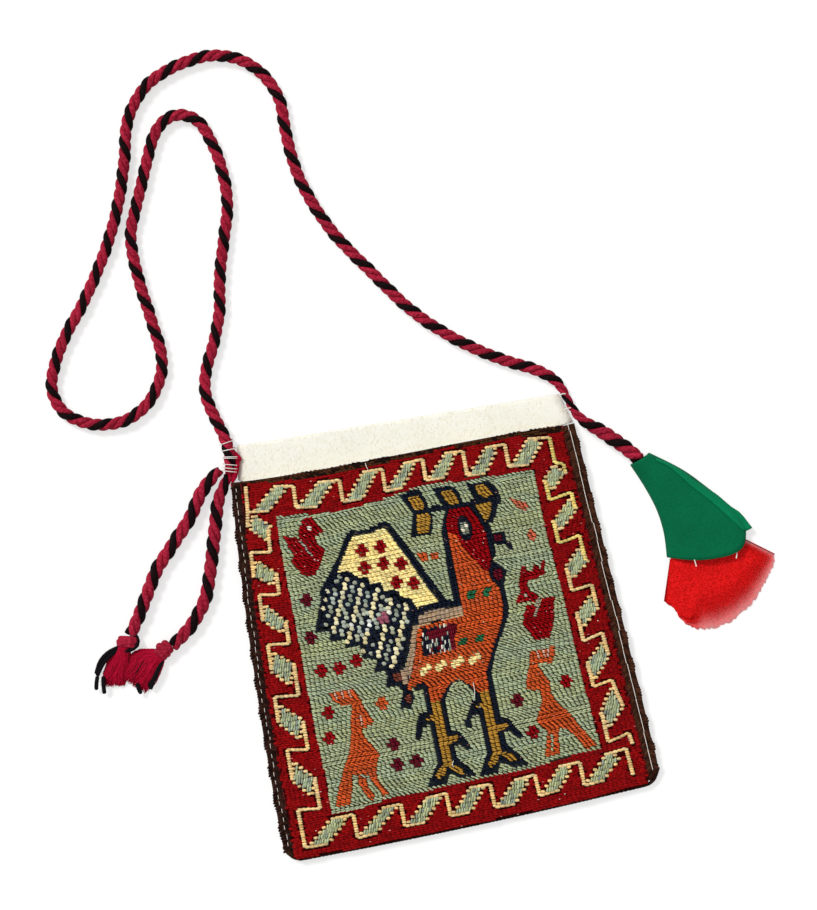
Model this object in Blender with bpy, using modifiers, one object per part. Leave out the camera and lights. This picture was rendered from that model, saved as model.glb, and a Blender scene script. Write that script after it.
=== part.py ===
"""A small flat-woven neck pouch, lying face up.

The pouch is a wool front with a woven picture, a plain wool back and a cotton lining, overcast together
along both sides. A twisted cord is sewn to the top corners: it makes the long neck loop, and its free end
carries a green cloth cone with layers of red tulle. Two shorter cords hang from the left corner, each
ending in a knot and a tuft of loose yarn.

Units are metres. +X is the pouch's right, +Y points from its bottom to its mouth, +Z is up.
The origin is on the floor under the middle of the pouch itself, cords left out.
"""

import math

import bmesh
import bpy
from mathutils import Vector

MM = 0.001

# How the front lies: a slightly irregular four-sided outline with bowed edges
TOP_WIDTH = 174 * MM
BOTTOM_WIDTH = 192 * MM
LEFT_HEIGHT = 190.2 * MM
RIGHT_HEIGHT = 182.6 * MM
LEFT_BOW = 2.2 * MM
BOTTOM_BOW = 1.5 * MM
TOP_SWAY = 2.2 * MM
TOP_DIP = 0.3 * MM
LEFT_CORNER_RADIUS = 7 * MM
RIGHT_CORNER_RADIUS = 11 * MM

# The cotton strip that stands above the mouth
STRIP_LEFT_HEIGHT = 17.5 * MM
STRIP_RIGHT_HEIGHT = 16.2 * MM
STRIP_LEFT_INSET_LOW = 3.9 * MM
STRIP_LEFT_INSET_HIGH = 6.5 * MM
STRIP_RIGHT_INSET_LOW = 0.5 * MM
STRIP_RIGHT_INSET_HIGH = 4.5 * MM
STRIP_SHOULDER = 1 * MM

# Cloths, from the floor up
CLEARANCE = 0.3 * MM
FACET_ALLOWANCE = 0.15 * MM
BACK_THICKNESS = 1.6 * MM
LINING_THICKNESS = 0.4 * MM
FRONT_THICKNESS = 1.8 * MM
LINING_PINCH = 0.4 * MM
CAVITY_HEIGHT = 5.8 * MM
LINING_SIDE_INSET = 1.0 * MM
LINING_BOTTOM_INSET = 2.0 * MM
LINING_RIM = 0.7 * MM
BACK_SHOWS_BELOW = 0.5 * MM
STRIP_SHOWS_ABOVE_BACK = 0.8 * MM
EDGE_ROUND = 0.7 * MM

# Overcast side seams
LEFT_BINDING_WIDTH = 5.0 * MM
RIGHT_BINDING_WIDTH = 6.5 * MM
BINDING_HEIGHT = 5.4 * MM
BINDING_GROOVE = 0.3
BINDING_GROOVE_WIDTH_SHARE = 0.35
BINDING_CORNER_COUNT = 14
BINDING_STEP_COUNT = 18

# Cords, and the thread that whips the strap to the left corner
STRAP_DIAMETER = 6.2 * MM
TAIL_DIAMETER = 6.9 * MM
FLOOR_GAP = 0.05 * MM
WHIPPING_THREAD = 0.8 * MM
WHIPPING_TURNS = 6
WHIPPING_TURN_POINTS = 8
WHIPPING_SPAN = (1.05, 2.4)

# The photograph's pixels laid on the floor: their size, their turn and the pixel over the front's middle
PIXEL = 0.5 * MM
PHOTO_TURN = math.radians(11)
MIDDLE_PIXEL = (438.1, 636.4)

# Points along the tubes of the cords
STRAP_POINT_COUNT = 80
TAIL_POINT_COUNT = 18

# Routes as photograph pixels, with a height in millimetres and a share of the cord's thickness
STRAP_ROUTE = [
    (230, 472.5, 4.4, 0.72), (230.5, 461, 4.7, 1), (229, 448, 4.6, 1), (222, 431, 3.5, 1),
    (213, 413, 3.15, 1), (206, 396, 3.15, 1), (206, 372, 3.15, 1), (214, 344, 3.15, 1),
    (220, 311, 3.15, 1), (220, 278, 3.15, 1), (224, 241, 3.15, 1), (228, 204, 3.15, 1),
    (222, 169, 3.15, 1), (212, 143, 3.15, 1), (198, 121, 3.15, 1), (178, 115, 3.15, 1),
    (161, 124, 3.15, 1), (152, 143, 3.15, 1), (146, 168, 3.15, 1), (138, 202, 3.15, 1),
    (131, 238, 3.15, 1), (139, 279, 3.15, 1), (152, 321, 3.15, 1), (163, 362, 3.15, 1),
    (153, 397, 3.15, 1), (130, 419, 3.15, 1), (98, 425, 3.15, 1), (66, 414, 3.15, 1),
    (52, 386, 3.15, 1), (63, 343, 3.15, 1), (84, 303, 3.15, 1), (104, 256, 3.15, 1),
    (118, 208, 3.15, 1), (125, 160, 3.15, 1), (128, 121, 3.15, 1), (146, 87, 3.15, 1),
    (178, 66, 3.15, 1), (216, 56, 3.15, 1), (252, 66, 3.15, 1), (278, 96, 3.15, 1),
    (287, 138, 3.15, 1), (300, 180, 3.15, 1), (329, 228, 3.15, 1), (370, 271, 3.15, 1),
    (413, 312, 3.15, 1), (455, 339, 3.15, 1), (497, 358, 3.15, 1), (536, 370, 3.15, 1),
    (556, 381, 3.0, 0.9), (566, 396, 2.3, 0.66), (574, 412, 2.4, 0.7), (586, 423, 3.4, 0.95),
    (602, 432, 3.9, 1.2), (620, 444, 3.9, 1.2), (639, 459, 3.9, 1.15),
]
TAIL_A_ROUTE = [
    (220, 470, 4.1, 0.72), (211, 479.5, 3.7, 0.95), (201, 493, 3.5, 1), (192, 515, 3.5, 1),
    (175, 542, 3.5, 1), (157, 570, 3.5, 1), (145, 602, 3.5, 1), (131.7, 633.9, 3.5, 0.95),
]
TAIL_B_ROUTE = [
    (229, 475.5, 3.9, 0.68), (224.5, 485, 3.6, 0.8), (219, 499, 3.5, 0.95), (216, 523, 3.5, 1),
    (212, 561, 3.5, 1), (206, 598, 3.5, 1), (192, 625, 3.5, 1), (173.6, 645, 3.5, 0.95),
]

# Sides of the flat pieces that hang on the cords, from the cord outwards, as photograph pixels
CONE_LEFT_SIDE = [(633, 467), (646, 487), (658, 510), (665, 533), (668, 557)]
CONE_RIGHT_SIDE = [(653, 455), (680, 471), (706, 489), (731, 508), (750, 528)]
CONE_HEM_BOW = 6 * MM
CONE_NECK_HEIGHT = 9 * MM
CONE_HEM_HEIGHT = 8 * MM
CONE_POCKET_DEPTH = 0.22
CONE_CLOTH = 0.8 * MM
TULLE_LEFT_SIDE = [(678, 543), (674, 560), (668, 582), (664, 602)]
TULLE_RIGHT_SIDE = [(734, 527), (748, 542), (769, 555), (769, 577)]
TULLE_HEM_BOW = 11 * MM
TULLE_THICKNESS = 0.4 * MM
TULLE_NECK_HEIGHT = 2.4 * MM
TULLE_LOFT = 0.3 * MM
TULLE_STEP_BACK = 0.12
TULLE_SIDE_STEP = 0.09
TULLE_LAYERS = 3
TULLE_RIPPLES = 4
TULLE_RIPPLE_HEIGHT = 0.7 * MM
KNOT_A_PIXEL = (127, 641)
KNOT_A_SIZE = (10.4 * MM, 7.2 * MM, 7.0 * MM)
KNOT_B_PIXEL = (166, 650)
KNOT_B_SIZE = (8.6 * MM, 8.2 * MM, 7.2 * MM)
TUFT_A_LEFT_SIDE = [(119, 647), (107, 662), (101, 684)]
TUFT_A_RIGHT_SIDE = [(128, 649), (124, 662), (121, 678)]
TUFT_B_LEFT_SIDE = [(155.8, 653), (139, 655), (125.5, 664)]
TUFT_B_RIGHT_SIDE = [(162.6, 659), (158, 677), (148, 692)]
TUFT_HEIGHT = 6 * MM

# Colours as red, green and blue in linear light, then roughness
BROWN_WOOL = (0.040, 0.014, 0.006), 0.9
RED_WOOL = (0.245, 0.006, 0.012), 0.9
CREAM_COTTON = (0.88, 0.85, 0.74), 0.9
CRIMSON_YARN = (0.42, 0.012, 0.060), 0.8
WHITE_THREAD = (0.85, 0.82, 0.76), 0.8
GREEN_CLOTH = (0.004, 0.140, 0.060), 0.7
RED_TULLE = (0.72, 0.010, 0.020), 0.6
SAGE_WOOL = (0.330, 0.415, 0.255), 0.9
CREAM_WOOL = (0.840, 0.640, 0.330), 0.9
NAVY_WOOL = (0.012, 0.018, 0.034), 0.9
ORANGE_WOOL = (0.560, 0.100, 0.020), 0.9
YELLOW_WOOL = (0.790, 0.620, 0.190), 0.9
MUSTARD_WOOL = (0.560, 0.300, 0.040), 0.9
TAUPE_WOOL = (0.370, 0.250, 0.160), 0.9
MAROON_WOOL = (0.130, 0.006, 0.016), 0.9

# The woven picture: each layer of colour stands a little above the one below it
LAYER_RISE = 0.12 * MM
LAYER_DEPTH = 0.7 * MM
CUTTER_HEIGHT = 25 * MM
WELD_DISTANCE = 0.01 * MM
MEANDER_LINE = 2.2
CROSS_ARM = 3.6
CROSS_CORE = 1.5

# The chart that the picture is drawn on, and its outlines, in columns and rows from the chart's middle
CHART_COLUMNS = 183
CHART_ROWS = 186
FIELD = [
    (-69.8, 74), (-38, 71.3), (10, 75.8), (65, 73.1), (64.4, 40), (65.6, -20), (66.7, -70.2),
    (0, -71.2), (-50, -74), (-65.6, -74), (-66.6, 0),
]
MOUTH_BAND = [
    (-85.6, 92.4), (-78, 91.9), (-50, 89.9), (-35, 89.4), (10, 91.4), (40, 91.2), (82, 90),
    (83.6, 92.4),
]
TAIL_FAN = [
    (-58, 15), (-54, 28), (-52, 34), (-33.5, 60.6), (-24, 60.2), (-14.5, 62), (8.5, 18.5), (4, 15),
    (-8.5, 14), (-14.5, -3), (-20, -12), (-26.5, -9), (-32.8, -8.6), (-37, 1), (-45, 5.4),
    (-51, 10.5),
]
BODY_EDGE = [
    (17.5, 62.5), (13, 53.5), (12.3, 16), (-7.5, 16), (-12, 4), (-20.5, -21), (-10.8, -22.5),
    (-11, -60), (-18, -69.8), (6, -69.3), (-1.6, -59), (-1.8, -30), (7, -21.2), (13, -28.5),
    (13.4, -59), (7.6, -69.8), (31.2, -69.4), (22.8, -57.5), (22.9, -22), (33, -2.5), (38, 9),
    (38, 20), (40.6, 27), (35.5, 33), (37.5, 50), (29.5, 62.5),
]
COMB_EDGES = [
    [(-5.4, 73.6), (5, 74.4), (8.6, 64.2), (12.6, 64.4), (15.6, 65.6), (12.2, 73.6), (22.8, 73),
     (26.2, 65.6), (32, 65.8), (29.8, 73.2), (41, 72.2), (46, 62), (38, 51), (30, 61.8), (18, 62.7),
     (9.5, 60), (7, 50.8), (-3.4, 51.2), (0, 63)],
    [(37.6, 46.2), (43.4, 46.4), (46.2, 37.2), (42.4, 40.6), (36.6, 40.8)],
]
SPURS = [
    [(-11.2, -33.2), (-14.8, -34), (-19.2, -46.5), (-16.8, -46.6), (-11.2, -39.3)],
    [(-1.4, -45), (2, -46), (6.2, -56), (3.8, -56), (-1.4, -52.4)],
    [(13, -33), (10.8, -33.2), (6, -44.8), (8.6, -45), (13, -39.4)],
    [(23.1, -44.4), (26, -44.6), (31.8, -55.8), (29.2, -56.2), (23.1, -51.4)],
]
FAN = [
    (-32.5, 57.8), (-24, 57.6), (-15.5, 59.2), (4.5, 18.3), (-6, 17.2), (-12, 20), (-38, 34),
    (-43.5, 41),
]
FEATHERS = [
    [(-47 + 8.6 * n, 36 - 5.2 * n), (-44 + 8.6 * n, 34.5 - 5.2 * n), (-52 + 7.6 * n, 16 - 5.6 * n),
     (-54.8 + 7.6 * n, 16.6 - 5.6 * n)] for n in range(5)
]
BODY = [
    (15.6, 50), (15.5, 8), (6, 8.8), (-6.5, 8.6), (-17.5, -20.5), (-8.8, -21.5), (-8.4, -30),
    (-4, -30), (7, -20.8), (14.8, -29.5), (20.3, -29.5), (20.8, -21), (34, 4), (35.4, 19), (32, 27),
    (26.6, 34.4), (20.8, 45),
]
HEAD = [
    (18.8, 61.6), (29.2, 61.2), (34.7, 47), (34.8, 34), (30.6, 28), (27, 35), (21.2, 45.4),
    (19.6, 50.4), (15.8, 50.8),
]
LEGS = [
    [(-8.6, -30.6), (-4, -30.6), (-4.2, -61), (0.8, -66.8), (-4.6, -64.5), (-11.5, -67.2),
     (-8.4, -60)],
    [(15.6, -30.2), (20.2, -30.2), (20.4, -60.5), (26.3, -65.7), (18.6, -62.5), (12.5, -67.2),
     (15.8, -59)],
]
COMB_LOBES = [
    [(-1.6, 71.6), (4, 71.6), (6, 65), (0.4, 65)],
    [(2, 62.2), (8.4, 61.4), (6.2, 52.6), (0.4, 52.8)],
    [(15.6, 71.7), (21.6, 71.4), (24.2, 65), (18.2, 65)],
    [(33.6, 71.2), (38.6, 71), (41.8, 65.2), (35.4, 65)],
    [(32, 61.8), (40.2, 61.6), (37.4, 53.8), (35.4, 52.8)],
]
EYE_RING = [(22, 57.4), (25.8, 57.2), (28, 50.6), (25.5, 45.4), (21.4, 48.4)]
EYE = [(23, 55.8), (25.2, 55.2), (26.4, 50), (24.4, 47.2), (22.6, 50.6)]
WATTLE = [(34.6, 28), (37.8, 27.6), (38, 24), (35, 22.8)]
BACK_STRIPE = [(-7.3, 9.4), (-6.5, 13), (6, 14.4), (14.9, 13), (14.9, 9.4)]
SADDLE = [(-5.6, 6.8), (8, 6.2), (8.4, -6.2), (-8, -6.2)]
LARGE_BIRD = [
    (-56, 71), (-51, 71), (-46.5, 62.8), (-51.6, 62.4), (-47.2, 54.6), (-54, 43.4), (-60.2, 44.6),
    (-65, 52), (-67.2, 63.6), (-60.6, 63.2), (-59.6, 60.6),
]
SMALL_BIRDS = [
    [(48.2, 27.2), (50.8, 26.8), (51.4, 24.2), (57.2, 24), (60.6, 28.2), (59.2, 21), (50, 19.8),
     (49.4, 17), (53.6, 11.6), (51, 9.8), (41.2, 9.8), (45.4, 15.2)],
    [(54.6, 9), (61.6, 9), (58.6, -2), (54.6, -10.8), (47.4, -10.8), (43, -1), (46.4, 7.4),
     (51, 6.4)],
]
DEER = [
    [(-56.8, -16), (-45, -15.2), (-42, -21.4), (-37.4, -33.4), (-43.8, -35.6), (-43.2, -40),
     (-37.4, -49.8), (-41, -59), (-36.8, -70), (-39.4, -71), (-44.6, -58.6), (-52.4, -57.6),
     (-56, -71), (-63.2, -71), (-49.2, -38.4), (-46.2, -23), (-54.6, -20.2)],
    [(43.8, -15.6), (56, -15), (52.8, -22.8), (45.8, -22.4), (49.8, -32), (49, -37.4), (56, -50),
     (65, -68), (59.8, -69.2), (49.6, -56), (47.2, -68.6), (39.4, -68.8), (43.6, -56), (39.2, -49.4),
     (44.6, -34.4), (38, -33.8), (42, -22)],
]
FAN_CROSSES = [
    (-28.7, 50.2), (-19.2, 50.2), (-28.7, 41.2), (-19, 41), (-10.3, 40.3), (-5.8, 30.3),
    (-15.8, 31.6),
]
FIELD_CROSSES = [
    (-58.3, -3.2), (-49.3, -3.5), (-60.4, 32), (-60.7, 12), (-40.4, -3), (-58.2, -26.8), (-60, -38),
    (-30, -45.3), (-30, -57.3), (-20.7, -56.5), (32.6, -38.7), (57.7, -34.3), (36.6, -55.2),
]

# The meander: each leaf by its four corners, and the lines by the points where they turn
TOP_LEAVES = [
    [(-81 + 23 * n, 79.4 + lift), (-72 + 23 * n, 78.4 + lift),
     (-62 + 22.4 * n, 87.2 + lift / 2), (-69.5 + 22.4 * n, 88.2 + lift / 2)]
    for n, lift in enumerate((0, -1.4, -2.6, -1.4, 0, -1.2, -1.4))
]
BOTTOM_LEAVES = [
    [(-78.6 + 22.3 * n, -87.2 + lift), (-69.4 + 22.3 * n, -87.2 + lift),
     (-59 + 22.2 * n, -78 + lift), (-66 + 22.2 * n, -77 + lift)]
    for n, lift in enumerate((0, 0.2, 0.6, 1, 1.2, 1.6, 2))
]
RIGHT_LEAVES = [
    [(78.6 - 0.2 * n, 73 - 22.9 * n), (80.8, 68.6 - 23.6 * n),
     (72, 61.4 - 24 * n), (69.6 + 0.2 * n, 67.6 - 24 * n)] for n in range(6)
]
LEFT_LEAVES = [
    [(-83.4 + 0.5 * n, 71 - 25 * n), (-80.6 + 0.4 * n, 76 - 24.8 * n),
     (-73.6 + 0.6 * n, 69.6 - 25 * n), (-75.6 + 0.4 * n, 63.2 - 25.2 * n)] for n in range(6)
]
BAR_TO_LEAF = 2.4
LINE_UNDER_LEAF = 1.3
LINE_PAST_TIP = 0.7
SIDE_LINE_PAST_TIP = 0.5
SIDE_TURN_ABOVE_LEAF = 6.5

# How finely the cloths are divided
FRONT_COLUMNS = 11
FRONT_ROWS = 11
BACK_COLUMNS = 8
BACK_ROWS = 8


def mean_half_height():
    """Half the front's height over its middle."""
    return (LEFT_HEIGHT + RIGHT_HEIGHT) / 4


def origin_above_middle():
    """How far the origin lies above the front's middle, so that it is centred under the whole pouch."""
    top = LEFT_HEIGHT / 2 + STRIP_LEFT_HEIGHT
    lowest_half_height = (3 * LEFT_HEIGHT + RIGHT_HEIGHT) / 8
    bottom = lowest_half_height + 0.75 * BOTTOM_BOW + BACK_SHOWS_BELOW
    return (top - bottom) / 2


def half_width(b):
    return (BOTTOM_WIDTH + (TOP_WIDTH - BOTTOM_WIDTH) * (b + 1) / 2) / 2


def outline_place(a, b):
    """Where the front lies, bindings included: a runs from -1 at its left to 1, b from -1 at its bottom."""
    height = LEFT_HEIGHT + (RIGHT_HEIGHT - LEFT_HEIGHT) * (a + 1) / 2
    x = a * half_width(b) - LEFT_BOW * (1 - b * b) * (1 - a) / 2
    y = b * height / 2 - BOTTOM_BOW * (1 - a * a) * (1 - b) / 2
    y += (TOP_SWAY * a - TOP_DIP) * (1 - a * a) * (1 + b) / 2
    return Vector((x, y - origin_above_middle()))


def cloth_place(p, b, inset=0.0):
    """A place on the cloth between the bindings: p runs from -1 to 1, less an inset at both sides."""
    left = -1 + (LEFT_BINDING_WIDTH + CLEARANCE + inset) / half_width(b)
    right = 1 - (RIGHT_BINDING_WIDTH + CLEARANCE + inset) / half_width(b)
    return outline_place(left + (right - left) * (p + 1) / 2, b)


def strip_place(p, t):
    """A place on the cotton strip: t runs from 0 just above the mouth to 1 at its top edge."""
    share = (p + 1) / 2
    left = -1 + STRIP_LEFT_INSET_LOW / half_width(1)
    right = 1 - STRIP_RIGHT_INSET_LOW / half_width(1)
    low = outline_place(left + (right - left) * share, 1)
    low.y += STRIP_SHOULDER
    left_top = outline_place(-1, 1) + Vector((STRIP_LEFT_INSET_HIGH, STRIP_LEFT_HEIGHT))
    right_top = outline_place(1, 1) + Vector((-STRIP_RIGHT_INSET_HIGH, STRIP_RIGHT_HEIGHT))
    return low.lerp(left_top.lerp(right_top, share), t)


def photo_place(u, v):
    """The place on the floor of a pixel of the photograph."""
    right = u - MIDDLE_PIXEL[0]
    down = v - MIDDLE_PIXEL[1]
    x = right * math.cos(PHOTO_TURN) - down * math.sin(PHOTO_TURN)
    y = -right * math.sin(PHOTO_TURN) - down * math.cos(PHOTO_TURN)
    return Vector((x * PIXEL, y * PIXEL - origin_above_middle()))


def swell(p, b):
    """How far the lining's two sheets part: closed at the seams, even inside, open at the mouth."""
    across = 1 - abs(p) ** 6
    along = 1 - ((1 - min(b, 1)) / 2) ** 8
    return CAVITY_HEIGHT * max(across, 0) * max(along, 0)


def front_underside(p, b):
    lining_stack = 2 * LINING_THICKNESS + LINING_PINCH + 2 * CLEARANCE + FACET_ALLOWANCE
    return BACK_THICKNESS + lining_stack + swell(p, b)


def new_material(name, look):
    """A cloth or yarn material of one colour."""
    colour, roughness = look
    material = bpy.data.materials.new(name)
    material.use_nodes = True
    shader = material.node_tree.nodes["Principled BSDF"]
    shader.inputs["Base Color"].default_value = (*colour, 1)
    shader.inputs["Roughness"].default_value = roughness
    shader.inputs["Metallic"].default_value = 0
    material.diffuse_color = (*colour, 1)
    return material


def new_object(name, data, look):
    """Puts a piece in the pouch's collection, with its own material."""
    piece = bpy.data.objects.new(name, data)
    pouch.objects.link(piece)
    data.materials.append(new_material(name, look))
    return piece


def steps(first, last, count):
    """Evenly spaced values, both ends included."""
    return [first + (last - first) * step / count for step in range(count + 1)]


def rows_up(bottom, top, count):
    """Heights up the cloth, closer together at the bottom, where it curves most."""
    return [bottom + (top - bottom) * t ** 1.5 for t in steps(0, 1, count)]


def spread(a):
    """Columns of a swelling cloth, closer together towards its sides."""
    return a * (1.3 - 0.3 * a * a)


def mesh_from(form, name):
    """The finished mesh of a bmesh form."""
    bmesh.ops.recalc_face_normals(form, faces=form.faces[:])
    mesh = bpy.data.meshes.new(name)
    form.to_mesh(mesh)
    form.free()
    return mesh


def grid_sheet(name, columns, rows, place, thickness, look):
    """A sheet of cloth: a grid with one row for each value of rows, laid by place, thickened below."""
    form = bmesh.new()
    last = len(rows) - 1
    bmesh.ops.create_grid(form, x_segments=columns, y_segments=last, size=1)
    for vertex in form.verts:
        row = rows[round((vertex.co.y + 1) / 2 * last)]
        vertex.co = place(vertex.co.x, row)
    mesh = bpy.data.meshes.new(name)
    form.to_mesh(mesh)
    form.free()
    sheet = new_object(name, mesh, look)
    solidify = sheet.modifiers.new("thickness", "SOLIDIFY")
    solidify.thickness = thickness
    solidify.offset = -1
    return sheet


def grid_body(name, columns, rows, under, over, look):
    """A closed soft body between two surfaces over the same grid."""
    form = bmesh.new()
    last = len(rows) - 1
    bmesh.ops.create_grid(form, x_segments=columns, y_segments=last, size=1)
    raised = bmesh.ops.extrude_face_region(form, geom=form.faces[:], use_keep_orig=True)
    top = {item for item in raised["geom"] if isinstance(item, bmesh.types.BMVert)}
    for vertex in form.verts:
        row = rows[round((vertex.co.y + 1) / 2 * last)]
        surface = over if vertex in top else under
        vertex.co = surface(vertex.co.x, row)
    return new_object(name, mesh_from(form, name), look)


def between(points, share):
    """A point of the smooth curve through the given points, at a share of the way along their list."""
    last = len(points) - 1
    start = min(int(share * last), last - 1)
    t = share * last - start
    before = points[max(start - 1, 0)]
    after = points[min(start + 2, last)]
    values = []
    for p0, p1, p2, p3 in zip(before, points[start], points[start + 1], after):
        square = (2 * p0 - 5 * p1 + 4 * p2 - p3) * t ** 2
        cube = (3 * p1 - p0 - 3 * p2 + p3) * t ** 3
        values.append(0.5 * (2 * p1 + (p2 - p0) * t + square + cube))
    return values


def new_cord(name, route, diameter, count, look):
    """A cord as a tube with flat ends, on points of the smooth curve through its route."""
    curve = bpy.data.curves.new(name, "CURVE")
    curve.dimensions = "3D"
    curve.bevel_depth = diameter / 2
    curve.bevel_resolution = 3
    curve.use_fill_caps = True
    spline = curve.splines.new("POLY")
    spline.points.add(count - 1)
    for point, share in zip(spline.points, steps(0, 1, count - 1)):
        u, v, height, thickness = between(route, share)
        point.co = (*photo_place(u, v), height * MM, 1)
        point.radius = thickness
    return new_object(name, curve, look)


def new_cutter(name, outlines, low, high):
    """Flat outlines raised from low to high, as one closed cutter."""
    curve = bpy.data.curves.new(name, "CURVE")
    curve.dimensions = "2D"
    curve.fill_mode = "BOTH"
    curve.extrude = (high - low) / 2
    for outline in outlines:
        spline = curve.splines.new("POLY")
        spline.points.add(len(outline) - 1)
        for point, place in zip(spline.points, outline):
            point.co = (*place, 0, 1)
        spline.use_cyclic_u = True
    drawn = bpy.data.objects.new(name, curve)
    drawn.location.z = (low + high) / 2
    cutters.objects.link(drawn)
    bpy.context.view_layer.update()
    evaluated = drawn.evaluated_get(bpy.context.evaluated_depsgraph_get())
    mesh = bpy.data.meshes.new_from_object(evaluated)
    form = bmesh.new()
    form.from_mesh(mesh)
    bmesh.ops.remove_doubles(form, verts=form.verts[:], dist=WELD_DISTANCE)
    cutter = bpy.data.objects.new(name, mesh_from(form, name))
    cutters.objects.link(cutter)
    cutter.matrix_world = drawn.matrix_world
    bpy.data.objects.remove(drawn)
    cutter.hide_render = True
    cutter.display_type = "WIRE"
    return cutter


def corner_waste(name, side, radius):
    """What lies outside one rounded bottom corner."""
    corner = outline_place(side, -1)
    inward = outline_place(side * (1 - 2 * radius / BOTTOM_WIDTH), -1) - corner
    upward = outline_place(side, -1 + radius / mean_half_height()) - corner
    centre = corner + inward + upward
    outline = []
    for angle in steps(0, math.pi / 2, 8):
        outline.append(centre - inward * math.cos(angle) - upward * math.sin(angle))
    margin = 2
    outline.append(centre - upward * margin)
    outline.append(centre - upward * margin - inward * margin)
    outline.append(centre - inward * margin)
    return new_cutter(name, [outline], -CUTTER_HEIGHT / 5, CUTTER_HEIGHT)


def combine(piece, other, operation):
    """Cuts a piece by another, keeps what they share, or joins them with their colours."""
    change = piece.modifiers.new(other.name, "BOOLEAN")
    change.operation = operation
    change.solver = "EXACT"
    change.material_mode = "TRANSFER"
    change.object = other


def cut_away(piece, cutter):
    combine(piece, cutter, "DIFFERENCE")


def round_edges(piece):
    """Rounds the edges of a thick cloth."""
    bevel = piece.modifiers.new("edges", "BEVEL")
    bevel.width = EDGE_ROUND
    bevel.segments = 2
    bevel.limit_method = "ANGLE"
    bevel.angle_limit = math.radians(50)


def front_sheet(name, rise, depth, look):
    """A sheet over the whole front, a little above its face and as thick as depth."""
    def upper(a, b):
        p = spread(a)
        return Vector((*cloth_place(p, b), front_underside(p, b) + FRONT_THICKNESS + rise))

    return grid_sheet(name, FRONT_COLUMNS, rows_up(-1, 1, FRONT_ROWS), upper, depth, look)


def chart_place(x, y):
    """The place on the front of a point of the chart."""
    return outline_place(2 * x / CHART_COLUMNS, 2 * y / CHART_ROWS)


def cross(x, y):
    """The outline of a stepped cross."""
    outline = [(CROSS_ARM, 0), (CROSS_CORE, CROSS_CORE), (0, CROSS_ARM), (-CROSS_CORE, CROSS_CORE),
               (-CROSS_ARM, 0), (-CROSS_CORE, -CROSS_CORE), (0, -CROSS_ARM), (CROSS_CORE, -CROSS_CORE)]
    return [(x + dx, y + dy) for dx, dy in outline]


def line_outline(points):
    """The outline of a line of the meander, mitred where it turns."""
    places = [Vector(point) for point in points]
    sides = []
    for number, place in enumerate(places):
        arriving = (place - places[number - 1]).normalized() if number else None
        leaving = (places[number + 1] - place).normalized() if number < len(places) - 1 else None
        along = ((arriving or leaving) + (leaving or arriving)).normalized()
        aside = Vector((-along.y, along.x))
        lean = (leaving or arriving).cross(along)
        sides.append(aside * MEANDER_LINE / 2 / math.sqrt(1 - lean ** 2))
    left = [tuple(place + side) for place, side in zip(places, sides)]
    right = [tuple(place - side) for place, side in zip(places, sides)]
    return left + right[::-1]


def meander_lines():
    """The cream lines, from leaf tip to leaf foot, round the four sides."""
    lines = []
    for leaves in (TOP_LEAVES, BOTTOM_LEAVES):
        for leaf, following in zip(leaves, leaves[1:]):
            high = leaf[3][1] + LINE_PAST_TIP
            bar = following[0][0] - BAR_TO_LEAF
            low = following[0][1] - LINE_PAST_TIP
            lines.append([(leaf[3][0] - LINE_UNDER_LEAF, high), (bar, high), (bar, low),
                          (following[1][0] + LINE_UNDER_LEAF, low)])
    for leaves, inner, outer, side in ((RIGHT_LEAVES, 3, 1, 1), (LEFT_LEAVES, 2, 0, -1)):
        for leaf, following in zip(leaves, leaves[1:]):
            bar = leaf[inner][0] - side * SIDE_LINE_PAST_TIP
            edge = following[outer][0] + side * SIDE_LINE_PAST_TIP
            turn = max(place[1] for place in following) + SIDE_TURN_ABOVE_LEAF
            lines.append([(bar, leaf[inner][1] + LINE_UNDER_LEAF), (bar, turn), (edge, turn),
                          (edge, following[outer][1] - LINE_UNDER_LEAF)])
    return lines


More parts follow.
